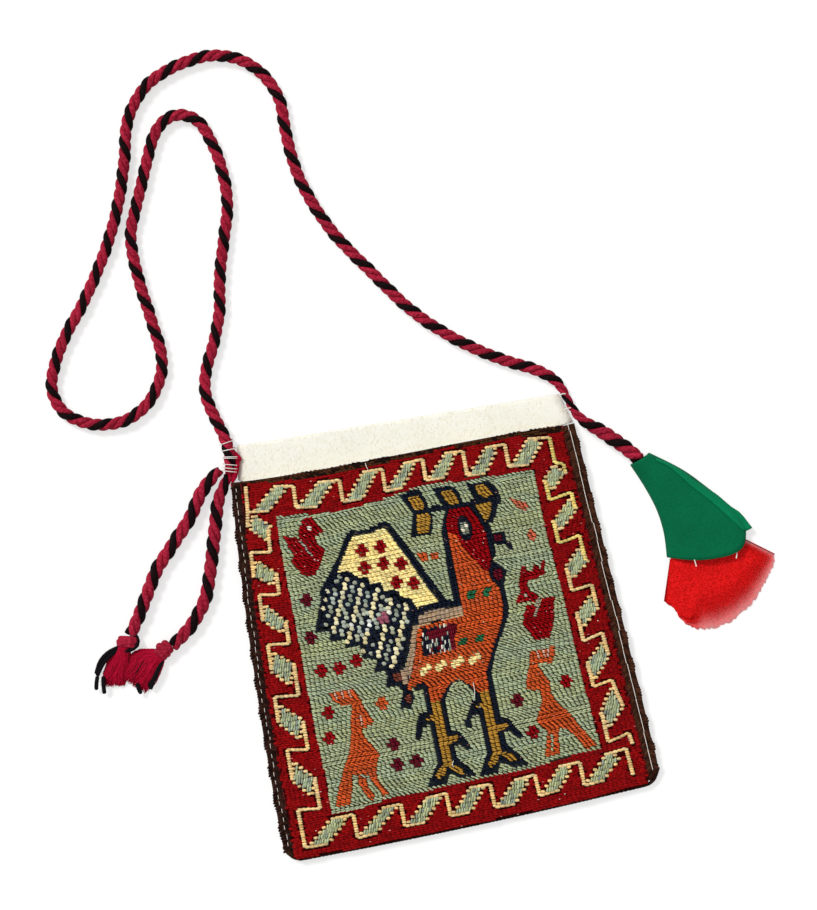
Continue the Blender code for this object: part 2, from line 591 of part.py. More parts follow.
def make_front():
    """The wool front, with its woven picture as fields of colour in low relief."""
    front = front_sheet("front_panel", 0, FRONT_THICKNESS, RED_WOOL)
    crosses = [cross(*place) for place in FIELD_CROSSES]
    fields = [
        ("sage_field", 1, SAGE_WOOL, [FIELD]),
        ("mouth_band", 1, BROWN_WOOL, [MOUTH_BAND]),
        ("meander_lines", 1, CREAM_WOOL, [line_outline(points) for points in meander_lines()]),
        ("meander_leaves", 2, SAGE_WOOL, TOP_LEAVES + BOTTOM_LEAVES + RIGHT_LEAVES + LEFT_LEAVES),
        ("navy_edges", 2, NAVY_WOOL, [TAIL_FAN, *COMB_EDGES]),
        ("small_figures", 2, RED_WOOL, [LARGE_BIRD, *SMALL_BIRDS, *crosses]),
        ("deer", 2, ORANGE_WOOL, DEER),
        ("body_edge", 3, NAVY_WOOL, [BODY_EDGE, *SPURS]),
        ("fan", 3, YELLOW_WOOL, [FAN]),
        ("feathers", 3, CREAM_WOOL, FEATHERS),
        ("body", 4, ORANGE_WOOL, [BODY]),
        ("legs", 4, MUSTARD_WOOL, [*LEGS, *COMB_LOBES]),
        ("fan_crosses", 4, RED_WOOL, [cross(*place) for place in FAN_CROSSES]),
        ("back_stripe", 4, TAUPE_WOOL, [BACK_STRIPE]),
        ("head", 5, RED_WOOL, [HEAD, WATTLE]),
        ("saddle", 5, MAROON_WOOL, [SADDLE]),
        ("eye_ring", 6, NAVY_WOOL, [EYE_RING]),
        ("eye", 7, CREAM_COTTON, [EYE]),
    ]
    layers = []
    for name, level, look, outlines in fields:
        rise = level * LAYER_RISE
        layer = front_sheet(name, rise, LAYER_DEPTH + rise, look)
        placed = [[chart_place(x, y) for x, y in outline] for outline in outlines]
        cutter = new_cutter(name + "_outline", placed, 0, CUTTER_HEIGHT)
        pouch.objects.unlink(layer)
        cutters.objects.link(layer)
        layer.hide_render = True
        layer.display_type = "WIRE"
        layers.append((layer, cutter))
    cut_away(front, left_waste)
    cut_away(front, right_waste)
    round_edges(front)
    for layer, cutter in layers:
        combine(layer, cutter, "INTERSECT")
        combine(front, layer, "UNION")


def make_back():
    """The plain wool back, which also stands behind the cotton strip."""
    def upper(p, row):
        part, share = row
        if part == "strip":
            x, y = strip_place(p, share)
        else:
            x, y = cloth_place(p, share)
        return Vector((x, y, BACK_THICKNESS))

    lowest = -1 - BACK_SHOWS_BELOW / mean_half_height()
    strip_end = 1 - STRIP_SHOWS_ABOVE_BACK / STRIP_RIGHT_HEIGHT
    rows = [("cloth", b) for b in steps(lowest, 1, BACK_ROWS)]
    rows += [("strip", t) for t in steps(0, strip_end, 3)]
    back = grid_sheet("back_panel", BACK_COLUMNS, rows, upper, BACK_THICKNESS, BROWN_WOOL)
    cut_away(back, left_waste)
    cut_away(back, right_waste)
    round_edges(back)


def make_lining():
    """The cotton lining: one sheet down the back, folded at the bottom and up behind the front."""
    low = BACK_THICKNESS + CLEARANCE
    folded = 2 * LINING_THICKNESS + LINING_PINCH
    bottom = -1 + LINING_BOTTOM_INSET / mean_half_height()
    rim = 1 + LINING_RIM / mean_half_height()

    def outer(a, row):
        p = spread(a)
        part, share = row
        if part == "strip":
            return Vector((*strip_place(p, share), low))
        place = cloth_place(p, share, LINING_SIDE_INSET)
        if part == "back":
            return Vector((*place, low))
        if part == "fold":
            return Vector((place.x, place.y - folded / 2, low + folded / 2))
        return Vector((*place, low + folded + swell(p, share)))

    rows = [("strip", t) for t in steps(1, 0, 3)]
    rows += [("back", b) for b in steps(1, bottom, BACK_ROWS)]
    rows += [("fold", bottom)]
    rows += [("front", b) for b in rows_up(bottom, rim, FRONT_ROWS)]
    grid_sheet("lining", FRONT_COLUMNS, rows, outer, LINING_THICKNESS, CREAM_COTTON)


def make_binding(name, side, width):
    """An overcast side seam: two brown ridges with a groove between them."""
    section = bpy.data.curves.new(name + "_section", "CURVE")
    section.dimensions = "2D"
    outline = section.splines.new("POLY")
    outline.points.add(BINDING_CORNER_COUNT - 1)
    for point, angle in zip(outline.points, steps(0, 2 * math.pi, BINDING_CORNER_COUNT)):
        groove = BINDING_GROOVE * math.exp(-(math.cos(angle) / BINDING_GROOVE_WIDTH_SHARE) ** 2)
        if angle >= math.pi:
            groove = 0
        rise = BINDING_HEIGHT / 2 * math.sin(angle) * (1 - groove)
        point.co = (width / 2 * math.cos(angle), rise, 0, 1)
    outline.use_cyclic_u = True
    guide = bpy.data.objects.new(name + "_section", section)
    guide.hide_render = True
    guide.display_type = "WIRE"
    cutters.objects.link(guide)

    seam = bpy.data.curves.new(name, "CURVE")
    seam.dimensions = "3D"
    seam.twist_mode = "Z_UP"
    seam.bevel_mode = "OBJECT"
    seam.bevel_object = guide
    seam.use_fill_caps = True
    line = seam.splines.new("POLY")
    heights = steps(-1, 1, BINDING_STEP_COUNT)
    line.points.add(len(heights) - 1)
    for point, b in zip(line.points, heights):
        x, y = outline_place(side * (1 - width / 2 / half_width(b)), b)
        point.co = (x, y, BINDING_HEIGHT / 2, 1)
    drawn = bpy.data.objects.new(name, seam)
    pouch.objects.link(drawn)
    bpy.context.view_layer.update()
    evaluated = drawn.evaluated_get(bpy.context.evaluated_depsgraph_get())
    form = bmesh.new()
    form.from_mesh(bpy.data.meshes.new_from_object(evaluated))
    bmesh.ops.remove_doubles(form, verts=form.verts[:], dist=WELD_DISTANCE)
    bpy.data.objects.remove(drawn)
    binding = new_object(name, mesh_from(form, name), BROWN_WOOL)
    cut_away(binding, left_waste if side < 0 else right_waste)


def route_place(route, share):
    """A place on a cord's centre line."""
    u, v, height, thickness = between(route, share)
    return Vector((*photo_place(u, v), height * MM))


def make_whipping():
    """Turns of white thread round the strap's end at the left corner."""
    radius = STRAP_DIAMETER / 2 + CLEARANCE + WHIPPING_THREAD / 2
    curve = bpy.data.curves.new("corner_whipping", "CURVE")
    curve.dimensions = "3D"
    curve.bevel_depth = WHIPPING_THREAD / 2
    curve.bevel_resolution = 1
    curve.use_fill_caps = True
    spline = curve.splines.new("POLY")
    count = WHIPPING_TURNS * WHIPPING_TURN_POINTS
    spline.points.add(count)
    up = Vector((0, 0, 1))
    first, last = (place / (len(STRAP_ROUTE) - 1) for place in WHIPPING_SPAN)
    for point, share in zip(spline.points, steps(0, 1, count)):
        along = first + (last - first) * share
        centre = route_place(STRAP_ROUTE, along)
        ahead = route_place(STRAP_ROUTE, along + 0.001) - centre
        aside = ahead.cross(up).normalized()
        angle = 2 * math.pi * WHIPPING_TURNS * share
        point.co = (*(centre + (aside * math.cos(angle) + up * math.sin(angle)) * radius), 1)
    new_object("corner_whipping", curve, WHITE_THREAD)


def outward(left_side, right_side):
    """The direction in which a piece drawn by its two sides points."""
    start = photo_place(*left_side[0]) + photo_place(*right_side[0])
    end = photo_place(*left_side[-1]) + photo_place(*right_side[-1])
    return (end - start).normalized()


def side_place(left_side, right_side, a, t):
    """A place between two sides drawn from the cord outwards: a runs from -1 at the right side to 1."""
    within = min(t, 1)
    left = photo_place(*between(left_side, within))
    right = photo_place(*between(right_side, within))
    beyond = outward(left_side, right_side) * (t - within) * (left - right).length
    return right.lerp(left, (a + 1) / 2) + beyond


def make_cone():
    """The green cloth, wrapped to a flattened cone round the cord's end and open at its hem."""
    direction = outward(CONE_LEFT_SIDE, CONE_RIGHT_SIDE)

    def surface(a, t, inset, lift):
        place = side_place(CONE_LEFT_SIDE, CONE_RIGHT_SIDE, a * inset, t)
        place += direction * CONE_HEM_BOW * t ** 3 * (1 - a * a)
        return Vector((*place, lift))

    def height(a, t):
        crown = CONE_NECK_HEIGHT + (CONE_HEM_HEIGHT - CONE_NECK_HEIGHT) * t
        return crown * (0.3 + 0.7 * math.sqrt(max(1 - a * a, 0)))

    def under(a, t):
        return surface(a, t, 1, FLOOR_GAP)

    def over(a, t):
        return surface(a, t, 1, height(a, t))

    cone = grid_body("pendant_cone", 8, steps(0, 1, 7), under, over, GREEN_CLOTH)

    def pocket_under(a, t):
        return surface(a, t, 0.93, CONE_CLOTH)

    def pocket_over(a, t):
        return surface(a, t, 0.93, height(a * 0.97, t) - CONE_CLOTH)

    pocket_rows = steps(1 - CONE_POCKET_DEPTH, 1, 2) + [1.2]
    pocket = grid_body("cone_pocket", 8, pocket_rows, pocket_under, pocket_over, GREEN_CLOTH)
    pouch.objects.unlink(pocket)
    cutters.objects.link(pocket)
    pocket.hide_render = True
    pocket.display_type = "WIRE"
    cut_away(cone, pocket)


def make_tulle(layer):
    """One layer of the red tulle, tucked into the cone and rippled towards its frayed edge."""
    direction = outward(TULLE_LEFT_SIDE, TULLE_RIGHT_SIDE)
    reach = 1 - TULLE_STEP_BACK * layer

    def upper(a, t):
        t = t * reach
        a = a * (1 - TULLE_SIDE_STEP * layer)
        place = side_place(TULLE_LEFT_SIDE, TULLE_RIGHT_SIDE, a, t)
        place += direction * TULLE_HEM_BOW * t * t * (1 - a * a)
        ripple = TULLE_RIPPLE_HEIGHT * t * (1 - math.cos(a * math.pi * TULLE_RIPPLES))
        low = TULLE_NECK_HEIGHT * (1 - t)
        level = layer * (TULLE_THICKNESS + CLEARANCE + TULLE_LOFT * t)
        return Vector((*place, FLOOR_GAP + TULLE_THICKNESS + low + ripple + level))

    name = f"tulle_{layer + 1}"
    grid_sheet(name, 16, steps(0, 1, 4), upper, TULLE_THICKNESS, RED_TULLE)


def make_knot(name, pixel, size):
    """The rounded knot at the end of a hanging cord."""
    form = bmesh.new()
    bmesh.ops.create_uvsphere(form, u_segments=12, v_segments=8, radius=0.5)
    turn = math.atan2(*reversed(photo_place(pixel[0] + 1, pixel[1]) - photo_place(*pixel)))
    for vertex in form.verts:
        x, y, z = (value * scale for value, scale in zip(vertex.co, size))
        vertex.co = (x * math.cos(turn) - y * math.sin(turn), x * math.sin(turn) + y * math.cos(turn), z)
        vertex.co += Vector((*photo_place(*pixel), size[2] / 2 + FLOOR_GAP))
    new_object(name, mesh_from(form, name), CRIMSON_YARN)


def make_tuft(name, left_side, right_side):
    """The loose yarn ends that spread from a knot."""
    def under(a, t):
        return Vector((*side_place(left_side, right_side, a, t), FLOOR_GAP))

    def over(a, t):
        crown = TUFT_HEIGHT * (1 - 0.5 * t) * (0.4 + 0.6 * math.sqrt(max(1 - a * a, 0)))
        return Vector((*side_place(left_side, right_side, a, t), crown))

    grid_body(name, 4, steps(0, 1, 4), under, over, CRIMSON_YARN)


for old in list(bpy.data.objects):
    bpy.data.objects.remove(old)

pouch = bpy.data.collections.new("woven_neck_pouch")
cutters = bpy.data.collections.new("cutters")
bpy.context.scene.collection.children.link(pouch)
bpy.context.scene.collection.children.link(cutters)

left_waste = corner_waste("left_corner_waste", -1, LEFT_CORNER_RADIUS)
right_waste = corner_waste("right_corner_waste", 1, RIGHT_CORNER_RADIUS)

make_back()
make_lining()
make_front()
make_binding("left_binding", -1, LEFT_BINDING_WIDTH)
make_binding("right_binding", 1, RIGHT_BINDING_WIDTH)
new_cord("strap", STRAP_ROUTE, STRAP_DIAMETER, STRAP_POINT_COUNT, CRIMSON_YARN)
make_whipping()
new_cord("tail_cord_a", TAIL_A_ROUTE, TAIL_DIAMETER, TAIL_POINT_COUNT, CRIMSON_YARN)
new_cord("tail_cord_b", TAIL_B_ROUTE, TAIL_DIAMETER, TAIL_POINT_COUNT, CRIMSON_YARN)
make_knot("knot_a", KNOT_A_PIXEL, KNOT_A_SIZE)
make_knot("knot_b", KNOT_B_PIXEL, KNOT_B_SIZE)
make_tuft("tuft_a", TUFT_A_LEFT_SIDE, TUFT_A_RIGHT_SIDE)
make_tuft("tuft_b", TUFT_B_LEFT_SIDE, TUFT_B_RIGHT_SIDE)
make_cone()
for number in range(TULLE_LAYERS):
    make_tulle(number)
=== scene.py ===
# %% [markdown]
# # A small woven pouch on a long twisted cord
# The object is a flat neck pouch, lying face up: a wool front with a picture worked in wrapped stitches, a
# plain back, a cotton lining, overcast side seams, a three-strand cord, two short cords with tufts, and a
# green felt cone with red tulle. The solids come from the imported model. Here each of them gets the yarns
# and cloths that make it look like what it is. Lengths are metres, and MM turns millimetres into metres.

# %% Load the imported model
import math
import random

import bmesh
import bpy
import numpy as np
from mathutils import Matrix, Vector
from mathutils.bvhtree import BVHTree


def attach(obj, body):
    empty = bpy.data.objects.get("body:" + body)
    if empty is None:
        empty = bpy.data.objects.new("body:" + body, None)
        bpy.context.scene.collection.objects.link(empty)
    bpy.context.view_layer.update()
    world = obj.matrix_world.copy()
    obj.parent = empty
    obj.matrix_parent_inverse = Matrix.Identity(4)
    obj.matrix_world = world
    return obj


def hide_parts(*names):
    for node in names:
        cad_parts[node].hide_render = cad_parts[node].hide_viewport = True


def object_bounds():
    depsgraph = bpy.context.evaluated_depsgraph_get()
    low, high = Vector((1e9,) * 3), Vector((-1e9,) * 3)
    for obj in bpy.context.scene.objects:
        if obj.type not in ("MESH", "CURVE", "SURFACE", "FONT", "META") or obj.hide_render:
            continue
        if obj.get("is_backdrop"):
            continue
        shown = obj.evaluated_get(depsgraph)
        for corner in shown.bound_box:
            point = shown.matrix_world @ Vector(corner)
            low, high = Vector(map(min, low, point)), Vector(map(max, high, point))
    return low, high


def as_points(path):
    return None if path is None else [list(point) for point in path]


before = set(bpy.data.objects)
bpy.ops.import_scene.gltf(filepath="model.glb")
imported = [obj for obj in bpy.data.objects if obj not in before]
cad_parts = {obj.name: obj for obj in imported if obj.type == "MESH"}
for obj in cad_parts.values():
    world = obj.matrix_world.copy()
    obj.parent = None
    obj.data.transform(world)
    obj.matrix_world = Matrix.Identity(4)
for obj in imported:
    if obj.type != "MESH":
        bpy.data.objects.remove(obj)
cad_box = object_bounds()
scene = bpy.context.scene
MM = 0.001
print("nodes:", len(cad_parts), "box:", cad_box)

# %% [markdown]
# ## From the photograph to the floor
# The camera hangs straight over the pouch, and the picture is turned by eleven degrees. One pixel is half a
# millimetre on the floor, so a place can be named by its pixel, which is how the cords were laid out.
# Measuring every place with a ruler would work too, but pixels can be compared with the picture at once.

# %% Places by pixel
PIXEL = 0.5 * MM
PHOTO_TURN = math.radians(11)
MIDDLE_PIXEL = (438.1, 636.4)
TOP_WIDTH, BOTTOM_WIDTH = 174 * MM, 192 * MM
LEFT_HEIGHT, RIGHT_HEIGHT = 190.2 * MM, 182.6 * MM
LEFT_BOW, BOTTOM_BOW, TOP_SWAY, TOP_DIP = 2.2 * MM, 1.5 * MM, 2.2 * MM, 0.3 * MM
STRIP_LEFT_HEIGHT, BACK_SHOWS_BELOW = 17.5 * MM, 0.5 * MM


def steps(first, last, count):
    """Evenly spaced values, both ends included."""
    return [first + (last - first) * step / count for step in range(count + 1)]


def origin_above_middle():
    """How far the origin lies above the middle of the front."""
    top = LEFT_HEIGHT / 2 + STRIP_LEFT_HEIGHT
    bottom = (3 * LEFT_HEIGHT + RIGHT_HEIGHT) / 8 + 0.75 * BOTTOM_BOW + BACK_SHOWS_BELOW
    return (top - bottom) / 2


def photo_place(u, v):
    """The place on the floor under a pixel."""
    right, down = u - MIDDLE_PIXEL[0], v - MIDDLE_PIXEL[1]
    x = right * math.cos(PHOTO_TURN) - down * math.sin(PHOTO_TURN)
    y = -right * math.sin(PHOTO_TURN) - down * math.cos(PHOTO_TURN)
    return Vector((x * PIXEL, y * PIXEL - origin_above_middle()))


def between(points, share):
    """A point of the smooth curve through the points, at a share of the way along their list."""
    last = len(points) - 1
    start = min(int(share * last), last - 1)
    t = share * last - start
    before, after = points[max(start - 1, 0)], points[min(start + 2, last)]
    return [0.5 * (2 * p1 + (p2 - p0) * t + (2 * p0 - 5 * p1 + 4 * p2 - p3) * t ** 2
                   + (3 * p1 - p0 - 3 * p2 + p3) * t ** 3)
            for p0, p1, p2, p3 in zip(before, points[start], points[start + 1], after)]


def along_photo(pixels, share):
    """The place on the floor at a share of the way along a line of pixels."""
    return photo_place(*between(pixels, share))


print("middle of the picture:", photo_place(408.5, 455))

# %% [markdown]
# ## Camera, floor and light
# The pouch was photographed from straight above on white paper, with soft light from the upper left. A long
# lens on a camera 1.5 m up gives the same flat view. For the camera only, the floor gives off part of its
# own white, so the paper comes out white while the thin shadows beside the cords stay. One wide sun and an
# even sky light the pouch at a level at which a colour comes out about as it is written.

# %% Camera
IMAGE_SIZE = (817, 910)
camera_data = bpy.data.cameras.new("overhead")
camera_data.sensor_width = 36
camera_height = 1.5
camera_data.lens = camera_data.sensor_width * camera_height / (IMAGE_SIZE[1] * PIXEL)
camera = bpy.data.objects.new("overhead", camera_data)
camera.location = (*photo_place(IMAGE_SIZE[0] / 2, IMAGE_SIZE[1] / 2), camera_height)
camera.rotation_euler = (0, 0, -PHOTO_TURN)
scene.collection.objects.link(camera)
scene.camera = camera
scene.view_settings.view_transform = "Standard"
print("lens:", round(camera_data.lens, 1), "mm")

# %% [markdown]
# ## A short way to write nodes
# A finish is a sum: so much dye, times so much shade. Written as nodes it takes a page, so one small class
# wraps a socket and lets plain Python maths add the nodes. A second class holds a tree and adds any other
# node with its settings and its sockets. Both serve the finishes and the trees that lay stitches.

# %% Wires
# Wool and felt hardly shine
MATT = 0.05


class Wire:
    """A value or a colour on its way through a tree of nodes."""

    def __init__(self, tree, socket):
        self.tree, self.socket = tree, socket

    def maths(self, operation, *values):
        return self.tree.node("ShaderNodeMath", {"operation": operation}, dict(enumerate(values)))

    def __add__(self, other):
        return self.maths("ADD", self, other)

    def __sub__(self, other):
        return self.maths("SUBTRACT", self, other)

    def __mul__(self, other):
        return self.maths("MULTIPLY", self, other)

    def __pow__(self, other):
        return self.maths("POWER", self, other)

    def wave(self):
        """From 0 to 1 and back each time that the value grows by one."""
        return (self * (2 * math.pi)).maths("COSINE", self * (2 * math.pi)) * -0.5 + 0.5

    def clipped(self):
        return self.maths("MINIMUM", self.maths("MAXIMUM", self, 0), 1)

    __radd__ = __add__
    __rmul__ = __mul__


print("wires ready")

# %% Trees of nodes
class Tree:
    """A tree of nodes, for a finish or for a shape that repeats."""

    def __init__(self, tree):
        self.tree = tree

    def node(self, kind, settings=None, sockets=None, out=0):
        node = self.tree.nodes.new(kind)
        for key, value in (settings or {}).items():
            setattr(node, key, value)
        for key, value in (sockets or {}).items():
            self.join(value, node.inputs[key])
        return Wire(self, node.outputs[out])

    def join(self, value, socket):
        if isinstance(value, Wire):
            self.tree.links.new(value.socket, socket)
        else:
            socket.default_value = value


print("trees ready")

# %% Finishes
def tinted(colour, amount):
    """A colour made darker or lighter, for a socket or a point."""
    return (*[amount * value for value in colour], 1)


class Finish(Tree):
    """A material with one main shader."""

    def __init__(self, name, colour, roughness):
        self.material = bpy.data.materials.new(name)
        self.material.use_nodes = True
        self.material.diffuse_color = (*colour, 1)
        super().__init__(self.material.node_tree)
        self.shader = self.tree.nodes["Principled BSDF"]
        self.give("Base Color", (*colour, 1))
        self.give("Roughness", roughness)
        self.give("Specular IOR Level", MATT)

    def give(self, name, value):
        self.join(value, self.shader.inputs[name])

    def place(self, stretch=(1, 1, 1), turn=0.0, source="Object"):
        """Coordinates on the piece, stretched and turned."""
        coordinates = self.node("ShaderNodeTexCoord", out={"UV": 2, "Object": 3}[source])
        return self.node("ShaderNodeMapping", None, {"Vector": coordinates, "Scale": stretch,
                                                     "Rotation": (0, 0, turn)})

    def part_of(self, vector, axis):
        return self.node("ShaderNodeSeparateXYZ", None, {0: vector}, out="XYZ".index(axis))

    def noise(self, vector, scale, detail):
        return self.node("ShaderNodeTexNoise", None, {"Vector": vector, "Scale": scale, "Detail": detail})

    def shade(self, colour, amount):
        """A colour made darker or lighter."""
        return self.node("ShaderNodeVectorMath", {"operation": "SCALE"}, {0: colour, "Scale": amount})

    def mix(self, factor, first, second):
        """Two colours, mixed."""
        sockets = {0: factor, 6: first, 7: second}
        return self.node("ShaderNodeMix", {"data_type": "RGBA"}, sockets, out=2)

    def bump(self, height, distance, strength):
        self.give("Normal", self.node("ShaderNodeBump", None, {"Height": height, "Distance": distance,
                                                               "Strength": strength}))


print("finishes ready")

# %% Fuzzy wool
def fuzzy_finish(name, colour, roughness, scale, shades, dents, stretch=(1, 1, 1), turn=0.0, dye=None):
    """Fuzzy wool or thread. Its points carry the dye, where none is given."""
    finish = Finish(name, colour, roughness)
    fuzz = finish.noise(finish.place(stretch, turn), scale, 3)
    dye = dye or finish.node("ShaderNodeAttribute", {"attribute_name": "dye"})
    finish.give("Base Color", finish.shade(dye, shades[0] + fuzz * shades[1]))
    finish.bump(fuzz, *dents)
    return finish.material


print("fuzzy wool ready")

# %% The paper floor
def background_rays(finish):
    """1 for what the camera sees, straight or in a gloss, and 0 for the light on the object."""
    seen = [finish.node("ShaderNodeLightPath", out=place) for place in (0, 3, 6)]
    return (seen[0] + seen[1] + seen[2]).clipped()


PAPER, SHADED_PAPER, PAPER_GLOW = (0.8, 0.8, 0.8), (0.46, 0.455, 0.45), 0.6
paper = Finish("white_paper", PAPER, 0.9)
plain = paper.node("ShaderNodeBsdfDiffuse", None, {"Color": (*PAPER, 1)})
shaded = paper.node("ShaderNodeBsdfDiffuse", None, {"Color": (*SHADED_PAPER, 1)})
glow = paper.node("ShaderNodeEmission", None, {"Strength": PAPER_GLOW})
white = paper.node("ShaderNodeAddShader", None, {0: shaded, 1: glow})
seen = paper.node("ShaderNodeMixShader", None, {0: background_rays(paper), 1: plain, 2: white})
paper.join(seen, paper.tree.nodes["Material Output"].inputs["Surface"])

floor_mesh = bpy.data.meshes.new("paper_floor")
FLOOR_HALF = 1.6
corners = [(FLOOR_HALF * x, FLOOR_HALF * y, 0) for x, y in ((-1, -1), (1, -1), (1, 1), (-1, 1))]
floor_mesh.from_pydata(corners, [], [(0, 1, 2, 3)])
floor = bpy.data.objects.new("paper_floor", floor_mesh)
scene.collection.objects.link(floor)
floor_mesh.materials.append(paper.material)
floor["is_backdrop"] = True
print("floor:", floor.name)

# %% Sky and sun
world = bpy.data.worlds.new("even_sky")
world.use_nodes = True
scene.world = world
sky = Tree(world.node_tree)
SKY_LIGHT, SKY_SEEN = 0.56, 1.0
even, bright = [sky.node("ShaderNodeBackground", None, {"Color": (1, 1, 1, 1), "Strength": strength})
                for strength in (SKY_LIGHT, SKY_SEEN)]
sky_seen = sky.node("ShaderNodeMixShader", None, {0: background_rays(sky), 1: even, 2: bright})
sky.join(sky_seen, world.node_tree.nodes["World Output"].inputs["Surface"])

sun_data = bpy.data.lights.new("soft_window", "SUN")
sun_data.energy = 2.1
sun_data.angle = math.radians(16)
sun = bpy.data.objects.new("soft_window", sun_data)
towards_light = Vector((-0.62, 0.62, 0.9))
towards_light.rotate(camera.rotation_euler)
sun.rotation_euler = towards_light.to_track_quat("Z", "Y").to_euler()
scene.collection.objects.link(sun)
print("sun from", [round(value, 2) for value in towards_light])

# %% [markdown]
# ## The twisted cords
# The long cord is three soft yarns, two crimson and one black, twisted together. It leaves the left top
# corner, loops over the paper and comes back to the right corner, where it is sewn down and runs on into the
# green cone. A single tube with a striped material would look flat from the side, so each yarn is its own
# tube that winds round the cord's centre line. The route is the one that the solid cord follows.

# %% Routes of the cords, as pixels, a height in millimetres and a share of the thickness
LYING = 3.15
STRAP_START = [
    (230, 472.5, 4.4, 0.72), (230.5, 461, 4.7, 1), (229, 448, 4.6, 1), (222, 431, 3.5, 1),
]
STRAP_LOOPS = [
    (213, 413), (206, 396), (206, 372), (214, 344), (220, 311), (220, 278), (224, 241), (228, 204),
    (222, 169), (212, 143), (198, 121), (178, 115), (161, 124), (152, 143), (146, 168), (138, 202),
    (131, 238), (139, 279), (152, 321), (163, 362), (153, 397), (130, 419), (98, 425), (66, 414),
    (52, 386), (63, 343), (84, 303), (104, 256), (118, 208), (125, 160), (128, 121), (146, 87), (178, 66),
    (216, 56), (252, 66), (278, 96), (287, 138), (300, 180), (329, 228), (370, 271), (413, 312),
    (455, 339), (497, 358), (536, 370),
]
STRAP_END = [
    (556, 381, 3.0, 0.9), (566, 396, 2.3, 0.66), (574, 412, 2.4, 0.7), (586, 423, 3.4, 0.95),
    (602, 432, 3.9, 1.2), (620, 444, 3.9, 1.2), (639, 459, 3.9, 1.15),
]
STRAP_ROUTE = STRAP_START + [(u, v, LYING, 1) for u, v in STRAP_LOOPS] + STRAP_END
TAIL_A_ROUTE = [
    (220, 470, 4.1, 0.72), (211, 479.5, 3.7, 0.95), (201, 493, 3.5, 1), (192, 515, 3.5, 1),
    (175, 542, 3.5, 1), (157, 570, 3.5, 1), (145, 602, 3.5, 1), (131.7, 633.9, 3.5, 0.95),
]
TAIL_B_ROUTE = [
    (229, 475.5, 3.9, 0.68), (224.5, 485, 3.6, 0.8), (219, 499, 3.5, 0.95), (216, 523, 3.5, 1),
    (212, 561, 3.5, 1), (206, 598, 3.5, 1), (192, 625, 3.5, 1), (173.6, 645, 3.5, 0.95),
]
STRAP_DIAMETER, TAIL_DIAMETER = 6.2 * MM, 6.9 * MM
print("points on the strap's route:", len(STRAP_ROUTE))

# %% The finish of a cord's yarn
def cord_finish(name, colour, glow):
    """Soft plied yarn: fine slanting fibres with a painted highlight in the glow colour and painted shade in
    a darker copy, and a darker and lighter tone that wanders along the yarn.
    """
    finish = Finish(name, colour, 0.7)
    fine = finish.noise(finish.place((10, 900, 1), math.radians(4), "UV"), 1.0, 3)
    slant = finish.place((2, 520, 1), 0, "UV")
    ply = finish.part_of(slant, "X") + finish.part_of(slant, "Y")
    wander = finish.noise(finish.place(), 70, 1)
    # Painted highlight and painted shade on the fibres: a darker copy of the colour and the glow colour,
    # mixed by fine noise
    lit = finish.mix((fine * 2.2 - 0.65).clipped(), tinted(colour, 0.62), (*glow, 1))
    finish.give("Base Color", finish.shade(lit, 0.72 + wander * 0.5))
    finish.bump(fine + ply.wave() * 0.5, 0.25 * MM, 0.6)
    return finish.material


# The last colour of each yarn is its painted highlight
crimson_yarn = cord_finish("crimson_yarn", (0.30, 0.002, 0.016), (0.52, 0.028, 0.068))
black_yarn = cord_finish("black_yarn", (0.003, 0.001, 0.001), (0.010, 0.003, 0.004))
print("yarns:", crimson_yarn.name, black_yarn.name)

# %% Pieces, and the line that a cord follows
def new_piece(name, mesh, *finishes):
    """Puts a finished mesh in the scene as a piece of the pouch."""
    piece = bpy.data.objects.new(name, mesh)
    scene.collection.objects.link(piece)
    for finish in finishes:
        mesh.materials.append(finish)
    mesh.shade_smooth()
    return piece


def kept_mesh(name, form):
    """A form, closed and kept as a mesh."""
    mesh = bpy.data.meshes.new(name)
    form.to_mesh(mesh)
    form.free()
    return mesh


def laid_line(route, spacing, ease):
    """A cord's centre line and thickness at even spacing, with its sharpest turns eased."""
    raw = [between(route, share) for share in steps(0, 1, 1200)]
    raw = np.array([[*photo_place(u, v), height * MM, share] for u, v, height, share in raw])
    along = np.concatenate([[0], np.cumsum(np.linalg.norm(np.diff(raw[:, :3], axis=0), axis=1))])
    even = np.linspace(0, along[-1], round(along[-1] / spacing) + 1)
    line = np.column_stack([np.interp(even, along, column) for column in raw.T])
    reach = round(2.5 * ease / spacing)
    weights = np.exp(-0.5 * (np.arange(-reach, reach + 1) * spacing / ease) ** 2)
    padded = np.pad(line, ((reach, reach), (0, 0)), mode="reflect", reflect_type="odd")
    line = np.column_stack([np.convolve(column, weights / weights.sum(), "valid") for column in padded.T])
    return even, line


def unit(vectors):
    return vectors / np.linalg.norm(vectors, axis=-1, keepdims=True)


print("lines ready")

# %% A closed tube
def tube(form, uv, path, out, radius, sides, along, finish):
    """Adds one closed tube to a form, with its seam on the side away from out."""
    ahead = unit(np.gradient(path, axis=0))
    out = unit(out - ahead * np.sum(out * ahead, axis=1, keepdims=True))
    aside = np.cross(ahead, out)
    angles = math.pi + np.linspace(0, 2 * math.pi, sides, endpoint=False)
    rings = path[:, None] + radius[:, None, None] * (out[:, None] * np.cos(angles)[:, None]
                                                     + aside[:, None] * np.sin(angles)[:, None])
    corners = [[form.verts.new(point) for point in ring] for ring in rings]
    for row in range(len(corners) - 1):
        for side in range(sides):
            after = (side + 1) % sides
            face = form.faces.new((corners[row][side], corners[row][after], corners[row + 1][after],
                                   corners[row + 1][side]))
            face.material_index = finish
            for loop, (across, step) in zip(face.loops, ((0, 0), (1, 0), (1, 1), (0, 1))):
                loop[uv].uv = ((side + across) / sides, along[row + step])
    for cap in (corners[0][::-1], corners[-1]):
        form.faces.new(cap).material_index = finish


print("tubes ready")

# %% Twisting three yarns
# Two crimson strands and a thicker black one: the finish and the radius, as a share of the cord's diameter
STRANDS, STRAND_OFF_CENTRE = ((0, 0.237), (0, 0.237), (1, 0.268)), 0.262


